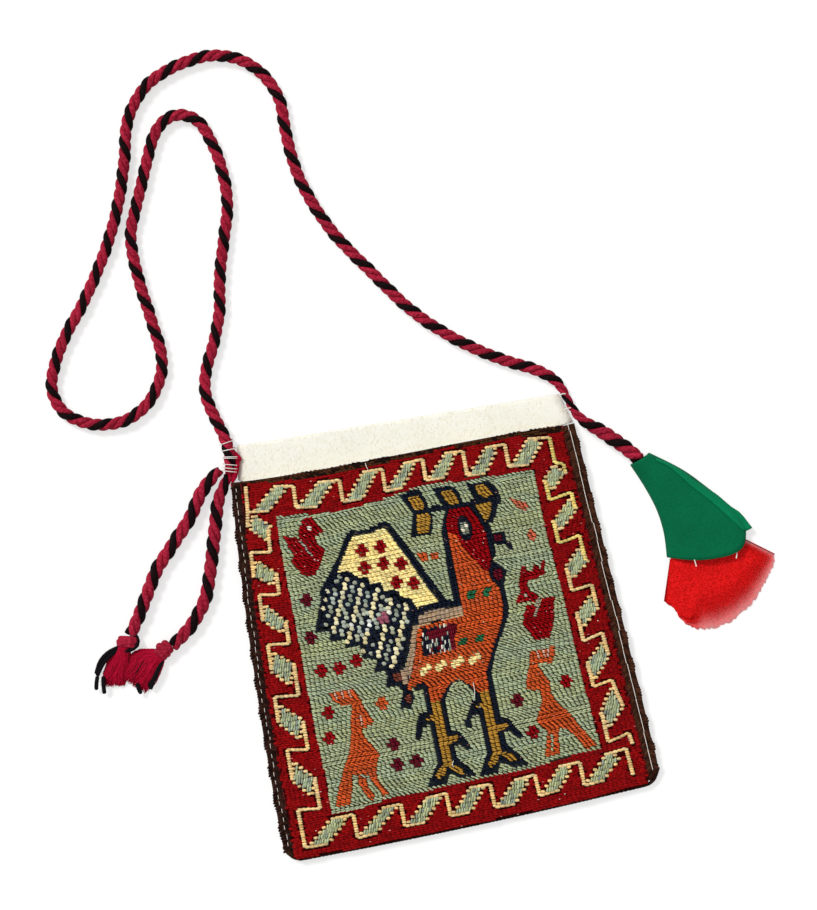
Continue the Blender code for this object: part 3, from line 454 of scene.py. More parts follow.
def twisted_cord(name, route, diameter, pitch, start_turn):
    """Three yarns round one centre line. Returns the piece, its length and its centre line."""
    along, line = laid_line(route, spacing=1.1 * MM, ease=3 * MM)
    centre, share = line[:, :3], line[:, 3]
    ahead = unit(np.gradient(centre, axis=0))
    aside = unit(np.cross(ahead, (0, 0, 1)))
    above = np.cross(aside, ahead)
    form = bmesh.new()
    uv = form.loops.layers.uv.new("along_yarn")
    for strand, (finish, fat) in enumerate(STRANDS):
        turn = start_turn + 2 * math.pi * (strand / 3 + along / pitch)
        out = aside * np.cos(turn)[:, None] + above * np.sin(turn)[:, None]
        soft = 1 + 0.035 * np.sin(along / (2.3 * MM) + strand * 2) * np.sin(along / (7.1 * MM) + strand)
        path = centre + out * (STRAND_OFF_CENTRE * diameter * share)[:, None]
        tube(form, uv, path, out, fat * diameter * share * soft, 12, along, finish)
    bmesh.ops.recalc_face_normals(form, faces=form.faces[:])
    piece = new_piece(name, kept_mesh(name, form), crimson_yarn, black_yarn)
    print(name, "length:", round(along[-1], 4), "faces:", len(piece.data.polygons))
    return piece, along[-1], [tuple(point) for point in centre[::4]]


strap, strap_length, strap_line = twisted_cord("neck_cord", STRAP_ROUTE, STRAP_DIAMETER,
                                               pitch=16 * MM, start_turn=0.4)
tail_a, tail_a_length, tail_a_line = twisted_cord("short_cord_a", TAIL_A_ROUTE, TAIL_DIAMETER,
                                                  pitch=18 * MM, start_turn=0.9)
tail_b, tail_b_length, tail_b_line = twisted_cord("short_cord_b", TAIL_B_ROUTE, TAIL_DIAMETER,
                                                  pitch=18 * MM, start_turn=2.6)

# %% [markdown]
# ## Cloths that lie under the stitches
# The front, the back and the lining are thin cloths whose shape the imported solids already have. Each gets a
# merged copy of its solid with finer faces, so that threads and small dents can show. Simulating the cloth
# isn't needed, because it lies flat and is stretched between the side seams.

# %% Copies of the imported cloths
def cloth_copy(name, node, longest, finish, dent=0.0):
    """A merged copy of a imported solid, its long edges divided and its surface slightly dented."""
    form = bmesh.new()
    form.from_mesh(bpy.data.objects[node].data)
    bmesh.ops.remove_doubles(form, verts=form.verts[:], dist=0.005 * MM)
    for turn in range(5):
        long_edges = [edge for edge in form.edges if edge.calc_length() > longest]
        if not long_edges:
            break
        bmesh.ops.subdivide_edges(form, edges=long_edges, cuts=1)
        bmesh.ops.triangulate(form, faces=[face for face in form.faces if len(face.verts) > 4])
    form.normal_update()
    for vertex in form.verts:
        x, y = vertex.co.x / MM, vertex.co.y / MM
        wave = math.sin(x / 9.1 + math.sin(y / 13)) * math.sin(y / 7.3 + 0.6 * math.sin(x / 17))
        vertex.co += vertex.normal * dent * wave
    piece = new_piece(name, kept_mesh(name, form), finish)
    print(name, "faces:", len(piece.data.polygons))
    return piece


print("copies ready")

# %% The plain wool back and the cotton lining
def weave(finish, width, height):
    """Over and under, as threads of that width and height."""
    place = finish.place((1 / width, 1 / height, 1))
    across, along = finish.part_of(place, "X"), finish.part_of(place, "Y")
    over = (across * 0.5).wave() * along.wave()
    under = (across * 0.5 + 0.5).wave() * (along + 0.5).wave()
    return over + under


brown_wool = Finish("brown_wool_weave", (0.060, 0.024, 0.010), 0.9)
brown_threads = weave(brown_wool, 1.9 * MM, 1.3 * MM)
brown_fuzz = brown_wool.noise(brown_wool.place((1, 4, 1)), 420, 3)
# Painted shade and painted highlight in the weave: its dips are darker and its raised threads lighter
brown_lit = brown_wool.mix(brown_threads, (0.028, 0.010, 0.005, 1), (0.090, 0.038, 0.017, 1))
brown_wool.give("Base Color", brown_wool.shade(brown_lit, 0.6 + brown_fuzz * 0.8))
brown_wool.bump(brown_threads + brown_fuzz * 0.5, 0.35 * MM, 0.9)

linen = Finish("cotton_lining", (0.86, 0.84, 0.76), 0.85)
linen_threads = weave(linen, 0.75 * MM, 0.62 * MM)
slubs = linen.noise(linen.place((1, 7, 1)), 260, 3)
blotch = linen.noise(linen.place(), 45, 2)
linen_lit = linen.mix(slubs, (0.91, 0.87, 0.70, 1), (1.0, 1.0, 0.95, 1))
flecks = linen.noise(linen.place((2.2, 1, 1)), 620, 4)
linen_fleck = linen.mix((flecks * 6 - 3.1).clipped() * 0.45, linen_lit, (0.70, 0.62, 0.42, 1))
# The raised threads are painted slightly lighter: painted highlight in the weave
linen.give("Base Color", linen.shade(linen_fleck, 0.94 + blotch * 0.12 + linen_threads * 0.06))
linen.bump(linen_threads + slubs * 0.8, 0.16 * MM, 0.8)

back = cloth_copy("back_cloth", "back_panel", 4 * MM, brown_wool.material)
lining = cloth_copy("lining_cloth", "lining", 4 * MM, linen.material)

# %% [markdown]
# ## The chart of the front
# A place on the front is given by how far it lies across and up from the middle, in millimetres. The real
# front isn't a true rectangle: it is wider at the bottom, its left edge bows out and its mouth sways. So the
# chart's places are bent with it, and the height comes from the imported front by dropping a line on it.

# %% Places on the front
HALF_CHART = ((TOP_WIDTH + BOTTOM_WIDTH) / 4, (LEFT_HEIGHT + RIGHT_HEIGHT) / 4)


def half_width(b):
    """Half of the front's width: b runs from -1 at its bottom to 1 at its mouth."""
    return (BOTTOM_WIDTH + (TOP_WIDTH - BOTTOM_WIDTH) * (b + 1) / 2) / 2


def outline_place(a, b):
    """Where the front lies: a runs from -1 at its left to 1, b from -1 at its bottom."""
    height = LEFT_HEIGHT + (RIGHT_HEIGHT - LEFT_HEIGHT) * (a + 1) / 2
    x = a * half_width(b) - LEFT_BOW * (1 - b * b) * (1 - a) / 2
    y = b * height / 2 - BOTTOM_BOW * (1 - a * a) * (1 - b) / 2
    y += (TOP_SWAY * a - TOP_DIP) * (1 - a * a) * (1 + b) / 2
    return Vector((x, y - origin_above_middle()))


def chart_place(x, y):
    return outline_place(x * MM / HALF_CHART[0], y * MM / HALF_CHART[1])


def surface_of(node):
    """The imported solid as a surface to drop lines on."""
    form = bmesh.new()
    form.from_mesh(bpy.data.objects[node].data)
    tree = BVHTree.FromBMesh(form)
    form.free()
    return tree


front_surface = surface_of("front_panel")
DROP_FROM = 50 * MM
STEEPEST = 0.35


def dropped(surface, spot):
    """Where a line that drops on a spot meets a surface, and the surface's outward direction there."""
    return surface.ray_cast(Vector((*spot, DROP_FROM)), Vector((0, 0, -1)))[:2]


def on_front(x, y):
    """The place and the outward direction of the front at a place on the chart, or None beyond its edge."""
    place, normal = dropped(front_surface, chart_place(x, y))
    if place is None or normal.z < STEEPEST:
        return None
    return place, normal


print("middle of the front:", [round(value, 4) for value in on_front(0, 0)[0]])

# %% [markdown]
# ## The chart of the woven picture
# A weaver works from a chart: which colour each stitch gets. Ours is drawn as fields of colour and simple
# shapes, in millimetres across and up from the middle of the front. Later shapes lie over earlier ones.
# A picture file would be quicker, but it couldn't follow the stitches, and it would fix their size.

# %% The colours of the yarns
YARN = {
    "red": (0.290, 0.003, 0.006), "madder": (0.232, 0.003, 0.004), "maroon": (0.130, 0.006, 0.016),
    "sage": (0.400, 0.450, 0.275), "cream": (0.760, 0.530, 0.245), "yellow": (0.790, 0.620, 0.190),
    "orange": (0.600, 0.099, 0.024), "mustard": (0.450, 0.240, 0.038), "navy": (0.008, 0.012, 0.024),
    "taupe": (0.430, 0.300, 0.195), "green": (0.020, 0.150, 0.065), "brown": (0.058, 0.022, 0.009),
    "grey": (0.250, 0.290, 0.230), "white": (0.800, 0.780, 0.700), "salmon": (0.600, 0.140, 0.070),
    "pink": (0.330, 0.090, 0.130), "pale": (0.700, 0.420, 0.300), "rust": (0.200, 0.050, 0.030),
    "umber": (0.014, 0.006, 0.004), "ash": (0.420, 0.370, 0.300), "ivory": (0.720, 0.650, 0.400),
    "eye": (0.300, 0.300, 0.280), "blush": (0.620, 0.260, 0.240), "straw": (0.940, 0.780, 0.340),
    "silver": (0.380, 0.410, 0.330),
}
print("dyes:", len(YARN))

# %% The field
FIELD = [
    (-69.8, 74), (-60, 73.8), (-50, 72.8), (-42, 71.8), (-30, 71.3), (-20, 72.2), (-10, 73.6), (0, 75.2),
    (10, 75.8), (20, 75.3), (36, 74.6), (50, 73.6), (65, 73.1), (64.6, 55), (64.4, 40), (65.2, 22),
    (65.6, 0), (65.6, -30), (66, -50), (66.7, -70.2), (50, -70.8), (30, -71.2), (0, -71.2), (-20, -72),
    (-40, -73), (-50, -74), (-65.6, -74), (-65, -58), (-66.2, -32), (-66.6, 0), (-67.3, 20), (-68.3, 40),
    (-69.3, 58),
]
print("corners of the field:", len(FIELD))

# %% The cockerel's tail: navy edge, yellow fan, checked feathers
SHAPES = [
    ("navy", [(-52, 34), (-47.5, 41), (-42, 48.5), (-35, 59), (-33.5, 60.6), (-24, 60.2), (-15.5, 62),
        (-13, 61), (-7.5, 51), (-2.8, 42), (1, 33.5), (5, 25.5), (8.5, 18.5), (13, 16), (13, 13.5),
        (-8, 13), (-20, 20), (-44, 30)]),
    ("straw", [(-32.5, 57.8), (-24, 57.6), (-15.5, 59.2), (-10.5, 49.5), (-6.2, 41), (-2.3, 32),
        (1.5, 24), (4.5, 18.3), (-6, 17.2), (-12, 20), (-24, 26), (-38, 34), (-43.5, 41)]),
    ("navy", [(-52, 34), (-43, 42.5), (-35, 41.3), (-34.5, 38.5), (-27.5, 37.3), (-27.5, 33.5),
        (-22, 33.2), (-21, 28.5), (-14, 27.5), (-13.5, 24), (-8.5, 22.5), (-6.8, 18), (-8.5, 14),
        (-10, 9), (-12, 3.5), (-14.5, -3), (-18, -10), (-22, -12), (-27.5, -11), (-26, -8.9),
        (-32.8, -8.9), (-31, -5.5), (-29.5, -3), (-33, -2.6), (-37.5, -1.5), (-36.5, 2), (-37.5, 4.8),
        (-45, 5.2), (-43.5, 9), (-50, 9), (-52, 11), (-50, 13.6), (-51.5, 14.3), (-58, 15), (-56.5, 20),
        (-54.5, 26), (-53, 30)]),
]
print("shapes so far:", len(SHAPES))

# %% The neck, body and legs, edged in navy
SHAPES += [
    ("navy", [(17.5, 62.5), (15.5, 59), (13, 53.5), (12.4, 46), (12.3, 16), (-7.5, 16), (-9.5, 12),
        (-12, 4), (-16, -9), (-19.5, -17), (-20.5, -21), (-15, -20), (-10.8, -22.5), (-11, -60),
        (-14, -64), (-18, -69.8), (-8.5, -69.8), (-7, -66.5), (-4.5, -66.5), (-1.5, -69.3), (6, -69.3),
        (2.5, -64), (-1.6, -59), (-1.8, -30), (0.5, -26.5), (3, -22.8), (7, -21.2), (10.5, -24.5),
        (13, -28.5), (13.4, -59), (10.5, -64), (7.6, -69.8), (16, -69.8), (18, -66), (21.5, -67),
        (24, -69.4), (31.2, -69.4), (26.5, -62), (22.8, -57.5), (23, -40), (22.9, -22), (25.5, -15.5),
        (29, -8.5), (33, -2.5), (36.5, 3.5), (38, 9), (38, 20), (40.6, 27), (37, 31), (34.5, 32.5),
        (37.4, 36), (37.5, 50), (34, 56), (31.5, 60), (29.5, 62.5)]),
    ("taupe", [(-7.3, 9), (-6.5, 13), (-3, 14.6), (6, 14.4), (15.5, 13), (15.4, 8), (2, 9), (-5, 8.6),
        (-9.5, 3), (-11.5, -4), (-14.5, -12), (-17.5, -19), (-20.5, -17.5), (-18.5, -12), (-15, -5),
        (-12, 4), (-10, 9)]),
    ("orange", [(15.6, 50), (15.5, 8), (6, 8.8), (-6.5, 8.6), (-9, 5), (-10.2, -1), (-12.5, -7),
        (-16.5, -17.5), (-17.5, -20.5), (-12.5, -19.2), (-8.8, -21.5), (-8.4, -30), (-4, -30),
        (-1.5, -26.5), (1.3, -23), (7, -20.8), (11.5, -25), (14.8, -29.5), (20.3, -29.5), (20.8, -21),
        (24, -14), (27.5, -7.5), (31, -1.5), (34, 4), (35.4, 10), (35.4, 19), (33, 22.5), (32, 27),
        (31, 40), (20, 50)]),
    ("red", [(18.8, 61.6), (24, 62.3), (29.2, 61.2), (31.3, 57.5), (33, 52), (34.7, 47), (34.8, 34),
        (33, 29.5), (30.6, 28), (27, 34), (24, 38), (21.6, 43.5), (19.6, 49.5), (15.8, 50.5),
        (15.5, 54.5), (17, 59)]),
    ("mustard", [(-8.6, -29.5), (-4, -29.5), (-4.2, -61), (-0.8, -63.5), (0.8, -66.8), (-2.2, -67),
        (-4.6, -64.5), (-7, -62), (-8, -65), (-11.5, -67.2), (-14, -66), (-11, -62.5), (-8.4, -60)]),
    ("mustard", [(15.6, -29.5), (20.2, -29.5), (20.4, -60.5), (24.5, -62.2), (26.3, -65.7), (23.5, -66.7),
        (21, -64), (18.6, -61.5), (17.2, -65), (13.5, -67.4), (11.8, -65.8), (14.5, -62.5), (15.8, -59)]),
    # The spurs, two on each leg
    ("navy", [(-9, -33.2), (-14.8, -34), (-17, -38), (-19.2, -46.5), (-16.8, -46.6), (-14.5, -40.8),
        (-9, -39.3)]),
    ("navy", [(-3.5, -44.8), (2, -46), (4.6, -50.5), (6.2, -56), (3.8, -56), (1.5, -52.4),
        (-3.5, -52.5)]),
    ("navy", [(15.8, -33), (10.8, -33.2), (9, -37), (5.8, -41.5), (6, -44.8), (8.6, -45), (8.6, -40.5),
        (15.8, -39.4)]),
    ("navy", [(21, -44.4), (26, -44.6), (29, -50), (31.8, -55.8), (29.2, -56.2), (26.5, -51.8),
        (21, -51.4)]),
    ("mustard", [(-13.8, -37), (-8.5, -35.6), (-8.5, -38.6)]),
    ("mustard", [(-4.2, -47.8), (1, -47.6), (1, -49.8), (-4.2, -51.3)]),
    ("mustard", [(11.2, -36.4), (15.8, -34.8), (15.8, -37.6)]),
    ("mustard", [(20.3, -47), (24.5, -47), (26.2, -48.6), (24, -50), (20.3, -50.2)]),
]
print("shapes so far:", len(SHAPES))

# %% The comb: mustard lobes in navy
SHAPES += [
    ("navy", [(-5.4, 73.6), (5, 74.4), (7, 70), (8.4, 64.4), (13, 65.2), (16, 63.8), (25.5, 64.2),
        (33, 65), (45, 63.5), (46, 62), (43.5, 60), (41.3, 55), (38, 51), (34.5, 51.5), (31, 57),
        (29, 61.8), (18, 61.8), (9.5, 60), (8.4, 54), (7, 50.8), (-3.4, 51.2), (-1.5, 57), (0, 63),
        (-2.5, 68)]),
    ("navy", [(12.2, 73.6), (22.8, 73), (25, 69), (26.6, 63), (16, 63), (14.8, 66), (13.4, 69.5)]),
    ("navy", [(29.8, 73.2), (41, 72.2), (44.4, 68), (45.6, 62.5), (34, 63), (31.8, 66)]),
    ("sage", [(8.6, 62.2), (10.5, 60), (15.5, 60), (17, 62.4)]),
    ("mustard", [(-1.6, 71.6), (4, 71.6), (6.3, 67.5), (6, 64.2), (1.6, 64.2), (-0.2, 67.5)]),
    ("mustard", [(2, 62.2), (8.8, 61.2), (8, 57.5), (6.2, 52.6), (0.4, 52.8), (1, 57.5)]),
    ("mustard", [(15.6, 71.7), (21.6, 71.4), (23.6, 67.5), (24.4, 64.4), (19.6, 64.2), (17.4, 66.6)]),
    ("mustard", [(33.6, 71.2), (38.6, 71), (42.2, 65.6), (37.8, 64.2), (34.8, 66.6)]),
    ("mustard", [(31.8, 62), (40.4, 62), (39.4, 57.5), (37.4, 53.8), (35.4, 52.6), (34, 56)]),
    # Beak and wattle
    ("navy", [(36.8, 46.2), (43.4, 46.4), (43.8, 41), (41.5, 39.8), (36.8, 40.6)]),
    ("navy", [(42.4, 40.8), (45.6, 40.8), (46.2, 37.2), (44, 37.4)]),
    ("maroon", [(37.8, 44.8), (42.2, 44.9), (42, 42.4), (37.8, 42.4)]),
    ("maroon", [(34, 27), (36.6, 29), (38.6, 27.5), (38.6, 24), (36, 22.6), (34, 24)]),
    # The eye
    ("navy", [(22, 57), (25.5, 57.6), (28.2, 53), (27.8, 48), (25.5, 44.8), (22.2, 46), (21, 51)]),
    ("eye", [(23, 56), (25, 55.4), (26.6, 52.6), (26.2, 48.6), (24, 46.6), (22.6, 49), (22.2, 52.6)]),
]
print("shapes so far:", len(SHAPES))

# %% Marks on the body: the saddle, the green leaves, the cream wave
SHAPES += [
    ("maroon", [(-5.6, 6.8), (8, 6.2), (11.6, 5.6), (10.6, 2), (8.6, -2), (8.4, -6.6), (-8, -6.6),
        (-7.4, 0), (-6.2, 4)]),
    ("green", [(18.8, 16), (22.2, 16), (24.2, 19.6), (20.4, 20.2), (19, 18.2)]),
    ("green", [(27, 16), (29.6, 16.2), (31.4, 19.4), (29.2, 20), (27, 18.4)]),
    ("green", [(9.4, -5.4), (13, -5.5), (15.8, -3), (14.2, -1.8), (11.6, -2.4)]),
    ("green", [(17.8, -5.2), (21.4, -5.6), (24, -2.8), (22.4, -1.8), (19.8, -2.6)]),
]
print("shapes so far:", len(SHAPES))

# %% Hooks below the tail
SHAPES += [
    ("navy", [(-26.2, -10.6), (-28.4, -17.8), (-22, -18.4), (-20.5, -21.5), (-24, -29.4), (-18.4, -30),
        (-15.5, -25), (-16.6, -20.6), (-17, -12)]),
    ("rust", [(-24.2, -11.6), (-20.4, -11), (-19.4, -15.6), (-23.6, -16.4)]),
    ("taupe", [(-20.4, -11), (-17.6, -10.6), (-17.2, -18), (-20.2, -17.2)]),
    ("rust", [(-20.6, -23.6), (-17.4, -23.4), (-16.8, -26.4), (-20, -27.6)]),
    ("navy", [(-17, -19.4), (-10, -19), (-8.8, -21.6), (-14.4, -21.8)]),
    ("orange", [(-16.5, -16), (-9, -14), (-9.6, -18.6), (-14, -19.4), (-17.6, -21.4), (-18.6, -20)]),
]
print("shapes so far:", len(SHAPES))

# %% The two small red birds
SHAPES += [
    ("red", [(-56, 71), (-51, 71), (-49.8, 68), (-47, 64.6), (-46.5, 62.8), (-51.6, 62.4), (-51, 60),
        (-50, 57.4), (-47.2, 54.6), (-48, 52.2), (-50, 49), (-52, 45.4), (-54, 43.4), (-57.4, 43),
        (-60.2, 44.6), (-62.4, 47.4), (-65, 52), (-63, 54), (-63.6, 55.6), (-65.8, 59), (-65.8, 61),
        (-67.2, 63.6), (-60.6, 63.2), (-59.6, 60.6), (-58.8, 66.5), (-57, 69)]),
    ("red", [(48.2, 27.2), (50.8, 26.8), (50.6, 24.4), (53, 24), (54.6, 27), (57, 26.6), (57.2, 24),
        (58.6, 27.6), (60.6, 28.2), (59.4, 24.6), (59.2, 21), (50, 19.8), (49.4, 17), (50.4, 14),
        (53.6, 11.6), (53, 9.8), (51, 8.2), (47.4, 9.6), (41.2, 8.8), (43.2, 12), (45.4, 15.2),
        (45.8, 21.6), (47, 23.6)]),
    ("red", [(54.6, 9.2), (61.6, 9.2), (60, 6), (58.6, -2), (56.6, -6), (54.6, -10.8), (47.4, -10.8),
        (45.2, -5.4), (43, -1), (45.4, 5), (47, 7.4), (50.4, 7.6), (52, 4.6)]),
    ("white", [(-54.4, 67), (-52.4, 67), (-52.4, 65), (-54.4, 65)]),
    ("ash", [(46.6, 13.4), (48.6, 13.4), (48.6, 11.4), (46.6, 11.4)]),
]
print("shapes so far:", len(SHAPES))

# %% The two orange deer
SHAPES += [
    ("orange", [(-56.8, -15.6), (-45, -15.2), (-43.2, -18), (-42, -21.4), (-40.4, -26), (-37.4, -33.4),
        (-40, -35.2), (-43.8, -35.6), (-43.2, -40), (-40.4, -44.6), (-37.4, -49.8), (-39.6, -54),
        (-41, -59), (-40, -64), (-36.8, -70), (-39.4, -71.2), (-43.4, -62.4), (-44.6, -58.6),
        (-52.4, -57.6), (-53.2, -63), (-56, -71.8), (-63.2, -71.8), (-60, -63.4), (-55.4, -53.4),
        (-51.6, -46.4), (-49.2, -38.4), (-48.4, -32), (-46.2, -23), (-51.4, -22.8), (-54.6, -20.2)]),
    ("orange", [(-49.4, -58), (-46, -60.2), (-46, -64), (-43.2, -70.6), (-46, -71.4), (-48.6, -66.4),
        (-50.2, -61)]),
    ("orange", [(43.8, -15.6), (56, -15), (55, -19.4), (52.8, -22.8), (45.8, -22.4), (47.6, -27),
        (49.8, -32), (49, -37.4), (51.6, -43.6), (56, -50), (60, -58.6), (65, -68), (59.8, -69.4),
        (55.4, -60.8), (52.6, -56.8), (49.6, -56), (47.8, -60), (47.2, -68.6), (39.4, -68.8),
        (41.8, -61.6), (43.6, -56), (41, -52.4), (39.2, -49.4), (42.4, -44.6), (44.4, -40), (44.6, -34.4),
        (38, -33.8), (38.6, -29.6), (42, -22)]),
    # Small hooks and marks
    ("salmon", [(50, 61.6), (53, 60.4), (58, 58), (58.6, 55.6), (55.6, 54.6), (52, 57.6)]),
    ("salmon", [(54.6, 43), (56.8, 45), (59.4, 42.6), (59, 40.4), (56.8, 39), (54.8, 40.6)]),
    ("orange", [(-2.2, 42.8), (3.4, 43), (3.2, 39.4), (0.4, 39)]),
    ("orange", [(4.8, 42.4), (9, 42.2), (8.8, 39.2), (5, 39.4)]),
    ("pink", [(-28, 17.8), (-23.6, 19), (-20.4, 15.4), (-22, 12.8), (-27.4, 14.6)]),
]
print("shapes:", len(SHAPES))

# %% Fine lines
# A colour, a width, then the points of a line
LINES = [
    ("navy", 2.2, [(-52, 34), (-46, 41), (-40, 49.5), (-34, 59.2), (-24, 59), (-14.6, 60.8)]),
    ("ash", 1.1, [(-59, 60.5), (-57, 58), (-55.4, 54.6), (-54, 53)]),
    ("ash", 1.5, [(49.8, 1.6), (51.4, 5), (53.6, 9.4)]),
    ("pale", 1.0, [(-53.6, -15), (-53, -19)]), ("pale", 1.0, [(-50, -15), (-49.6, -20)]),
    ("pale", 1.0, [(-46.6, -16), (-46, -20)]), ("pale", 1.0, [(-43, -30), (-43.4, -34)]),
    ("pale", 1.0, [(46.8, -16), (47.4, -20)]), ("pale", 1.0, [(49.8, -15.6), (50.4, -20)]),
    ("pale", 1.0, [(52.4, -15.6), (51.8, -19.6)]), ("sage", 1.0, [(-46.4, -59), (-43.6, -63), (-41.4, -70)]),
    ("sage", 1.2, [(45.2, -58), (44.6, -62), (43.4, -66)]),
    ("straw", 3.2, [(-9.6, -14), (-6.2, -12)]), ("straw", 3.2, [(-2, -14), (1.4, -12)]),
    ("straw", 3.2, [(6.2, -13.8), (10, -12.2)]), ("straw", 3.2, [(14.6, -13.8), (18.6, -12)]),
]
print("fine lines:", len(LINES))

# %% Crosses
CROSSES = [
    ("red", [(-28.7, 50.2), (-19.2, 50.2), (-28.7, 41.2), (-19, 41), (-10.3, 40.3), (-14.2, 30.8),
             (-5.8, 30.3), (-58.3, -3.2), (-49.3, -3.5), (-40.3, -3), (-58.2, -25.8), (-60, -38),
             (57.7, -34.3), (36.6, -55.2)]),
    ("maroon", [(-60, 32), (-60.7, 12), (-30, -45.3), (-30, -57.3), (-20.7, -56.5), (32.6, -38.7)]),
    ("orange", [(-31.7, -26)]),
]
print("crosses:", sum(len(centres) for dye, centres in CROSSES))

# %% [markdown]
# ## The meander round the border
# Each unit of the border is a sage leaf lying aslant, with a cream line that runs along its foot, round its
# tip and back to the next leaf. The weaver works the four sides by eye, so no two units are alike: each
# leaf is noted by its four corners, and the cream lines by the points where they turn.

# %% Leaves of the border
LEAVES = [
    [(-80.5, 79), (-72.5, 78), (-61.5, 87.5), (-69, 88.8)],
    [(-57.5, 77.6), (-47, 76.6), (-38, 86), (-46, 87)],
    [(-32.5, 75.8), (-24, 75), (-15, 86.4), (-22, 87.4)],
    [(-10.5, 77.6), (-2.6, 77.4), (5.5, 87.2), (-0.4, 88.4)],
    [(11.5, 79), (20, 78.4), (27, 88.2), (21.6, 89.4)], [(32.5, 78), (41, 76.8), (49, 87), (43, 88.6)],
    [(54.5, 77.4), (64, 76.6), (72.5, 86.6), (65.6, 88.6)],
    [(75.8, 74), (80.6, 69), (72, 61.8), (69, 67.6)], [(80, 56), (82, 49.6), (71.6, 41), (68.8, 46.4)],
    [(78.6, 31), (81.4, 23.6), (72.2, 16.6), (69.6, 22.4)],
    [(79.2, 7.2), (81, -0.4), (71.6, -8.6), (69.4, -1.6)],
    [(79.2, -17.6), (80.8, -25.6), (71, -36), (69, -27.4)],
    [(78.6, -41), (81.6, -52), (73, -61), (70.4, -52.6)],
    [(-78.6, -87.4), (-69, -87.6), (-59, -78), (-66.4, -76.8)],
    [(-54.6, -87.4), (-45, -87), (-35, -77.8), (-41.6, -76.8)],
    [(-31.4, -87), (-22, -86.6), (-13, -77), (-20, -75.8)],
    [(-9.4, -86.6), (0, -86.6), (7.8, -76.4), (1.4, -75.2)],
    [(12.4, -86.2), (21.4, -86.6), (30, -77), (23, -75.6)],
    [(34.2, -85.6), (43.4, -85.2), (51, -76.2), (45, -74.8)],
    [(56, -85.6), (65.4, -85.6), (75.4, -76), (67.6, -74.2)],
    [(-81, 77), (-73.4, 70), (-75.4, 62.8), (-84, 70.4)],
    [(-82.6, 54), (-73, 46.6), (-75.4, 41), (-85, 46.4)],
    [(-81, 32), (-71.4, 22.4), (-74.4, 17.4), (-83.4, 24.4)],
    [(-80.4, 8.6), (-70.6, 0.4), (-74.4, -9), (-83, -0.6)],
    [(-81, -17.6), (-70.8, -27), (-74, -35.4), (-83, -26.6)],
    [(-79, -45.6), (-70, -56), (-73, -63.6), (-81.4, -54.8)],
]
print("leaves:", len(LEAVES))

# %% Lines of the border
BORDER_LINES = [
    [(-83.6, 91), (-84, 79), (-84.9, 71)], [(-84, 78.6), (-73, 77.6)],
    [(-69, 89), (-58.8, 87.4), (-58.7, 77), (-48, 76)],
    [(-46, 87.2), (-34.7, 86.4), (-34.4, 75.4), (-25, 75)],
    [(-22, 87.6), (-11.8, 87.4), (-11.8, 76.6), (-3, 77)],
    [(-0.4, 88.8), (9.7, 88.9), (9.6, 78.2), (19.4, 77.8)],
    [(21.6, 89.6), (31.1, 89.2), (31, 77.2), (40.4, 76.4)],
    [(43, 88.9), (53.2, 88.4), (53, 77), (63, 76.4)],
    [(65.6, 88.9), (76.8, 88), (76.6, 75), (80.8, 73.6), (80.8, 69.4)],
    [(69.6, 67.6), (69.6, 57.2), (81.3, 58.6), (81.4, 50)],
    [(69.2, 46.4), (69.2, 35.2), (74, 35.6), (80.2, 37), (80.4, 24)],
    [(70.2, 22), (70.3, 10.9), (80.5, 11.8), (80.6, 0.4)],
    [(70.2, -1.2), (70.2, -15.4), (80.1, -13.4), (80.5, -25)],
    [(69.8, -27), (69.8, -39.4), (79.2, -37.6), (80.5, -46), (81.6, -52)],
    [(70.8, -52.6), (70.7, -68), (81.2, -66), (81.8, -72)], [(-84.8, 58.4), (-84.8, 46.6)],
    [(-74.6, 70), (-74.8, 57.4), (-85, 58.4)], [(-73.2, 46.4), (-73.2, 36.4), (-83.2, 37), (-83.2, 25)],
    [(-71.9, 22.4), (-71.8, 11.6), (-82.4, 12.4), (-82.4, 0)],
    [(-71, 0), (-71.1, -14.6), (-82.9, -13.6), (-83, -26.4)],
    [(-71.1, -27), (-71, -41), (-81, -39.6), (-81, -54.4)],
    [(-70.3, -56), (-70.4, -70.6), (-81, -69.2), (-81, -88.2), (-70, -88.2)],
    [(-66.4, -76.6), (-55.4, -76.4), (-55.5, -88.2), (-46, -88)],
    [(-41.6, -76.5), (-32.3, -76.4), (-32.4, -87.6), (-22.6, -87.4)],
    [(-20, -75.7), (-10.1, -75), (-10.2, -87), (-1, -87.2)],
    [(1.4, -75), (11.3, -75.2), (11.3, -86.8), (21, -87.2)],
    [(23, -75.4), (33, -75.2), (33.2, -86.2), (43, -85.8)],
    [(45, -74.6), (55.2, -74.6), (55, -86.2), (64.8, -86.2)],
    [(67.6, -73.8), (78.2, -73.4), (78.6, -87.6)],
]
print("border lines:", len(BORDER_LINES))

# %% [markdown]
# ## Which stitch gets which dye
# The field and its figures are worked in coarse rows, 2.1 mm high. A row is two strands of stitches about
# 2.3 mm long, which slant down to the right. The red border is finer. Along a strand, the chart says where
# each dye starts and ends, so every slanting edge of a figure comes out in steps, as in real weaving.

# %% Reading the chart
ROW = 2.1
CROSS_BARS = [(3.2, 1.05), (1.7, 2.9)]


def inside(points, shape):
    """Which of the points lie inside a shape."""
    x, y = points[:, 0], points[:, 1]
    hit = np.zeros(len(points), bool)
    for (x0, y0), (x1, y1) in zip(shape, shape[1:] + shape[:1]):
        crosses = (y0 > y) != (y1 > y)
        if y0 != y1:
            hit ^= crosses & (x < (x1 - x0) * (y - y0) / (y1 - y0) + x0)
    return hit


def near(points, line, reach):
    """Which of the points lie within reach of a line."""
    close = np.zeros(len(points), bool)
    for start, end in zip(line, line[1:]):
        start, step = np.array(start, float), np.subtract(end, start)
        share = np.clip(((points - start) @ step) / (step @ step), 0, 1)
        close |= np.linalg.norm(points - start - share[:, None] * step, axis=1) < reach
    return close


def snapped(value, pitch):
    return round(value / pitch) * pitch


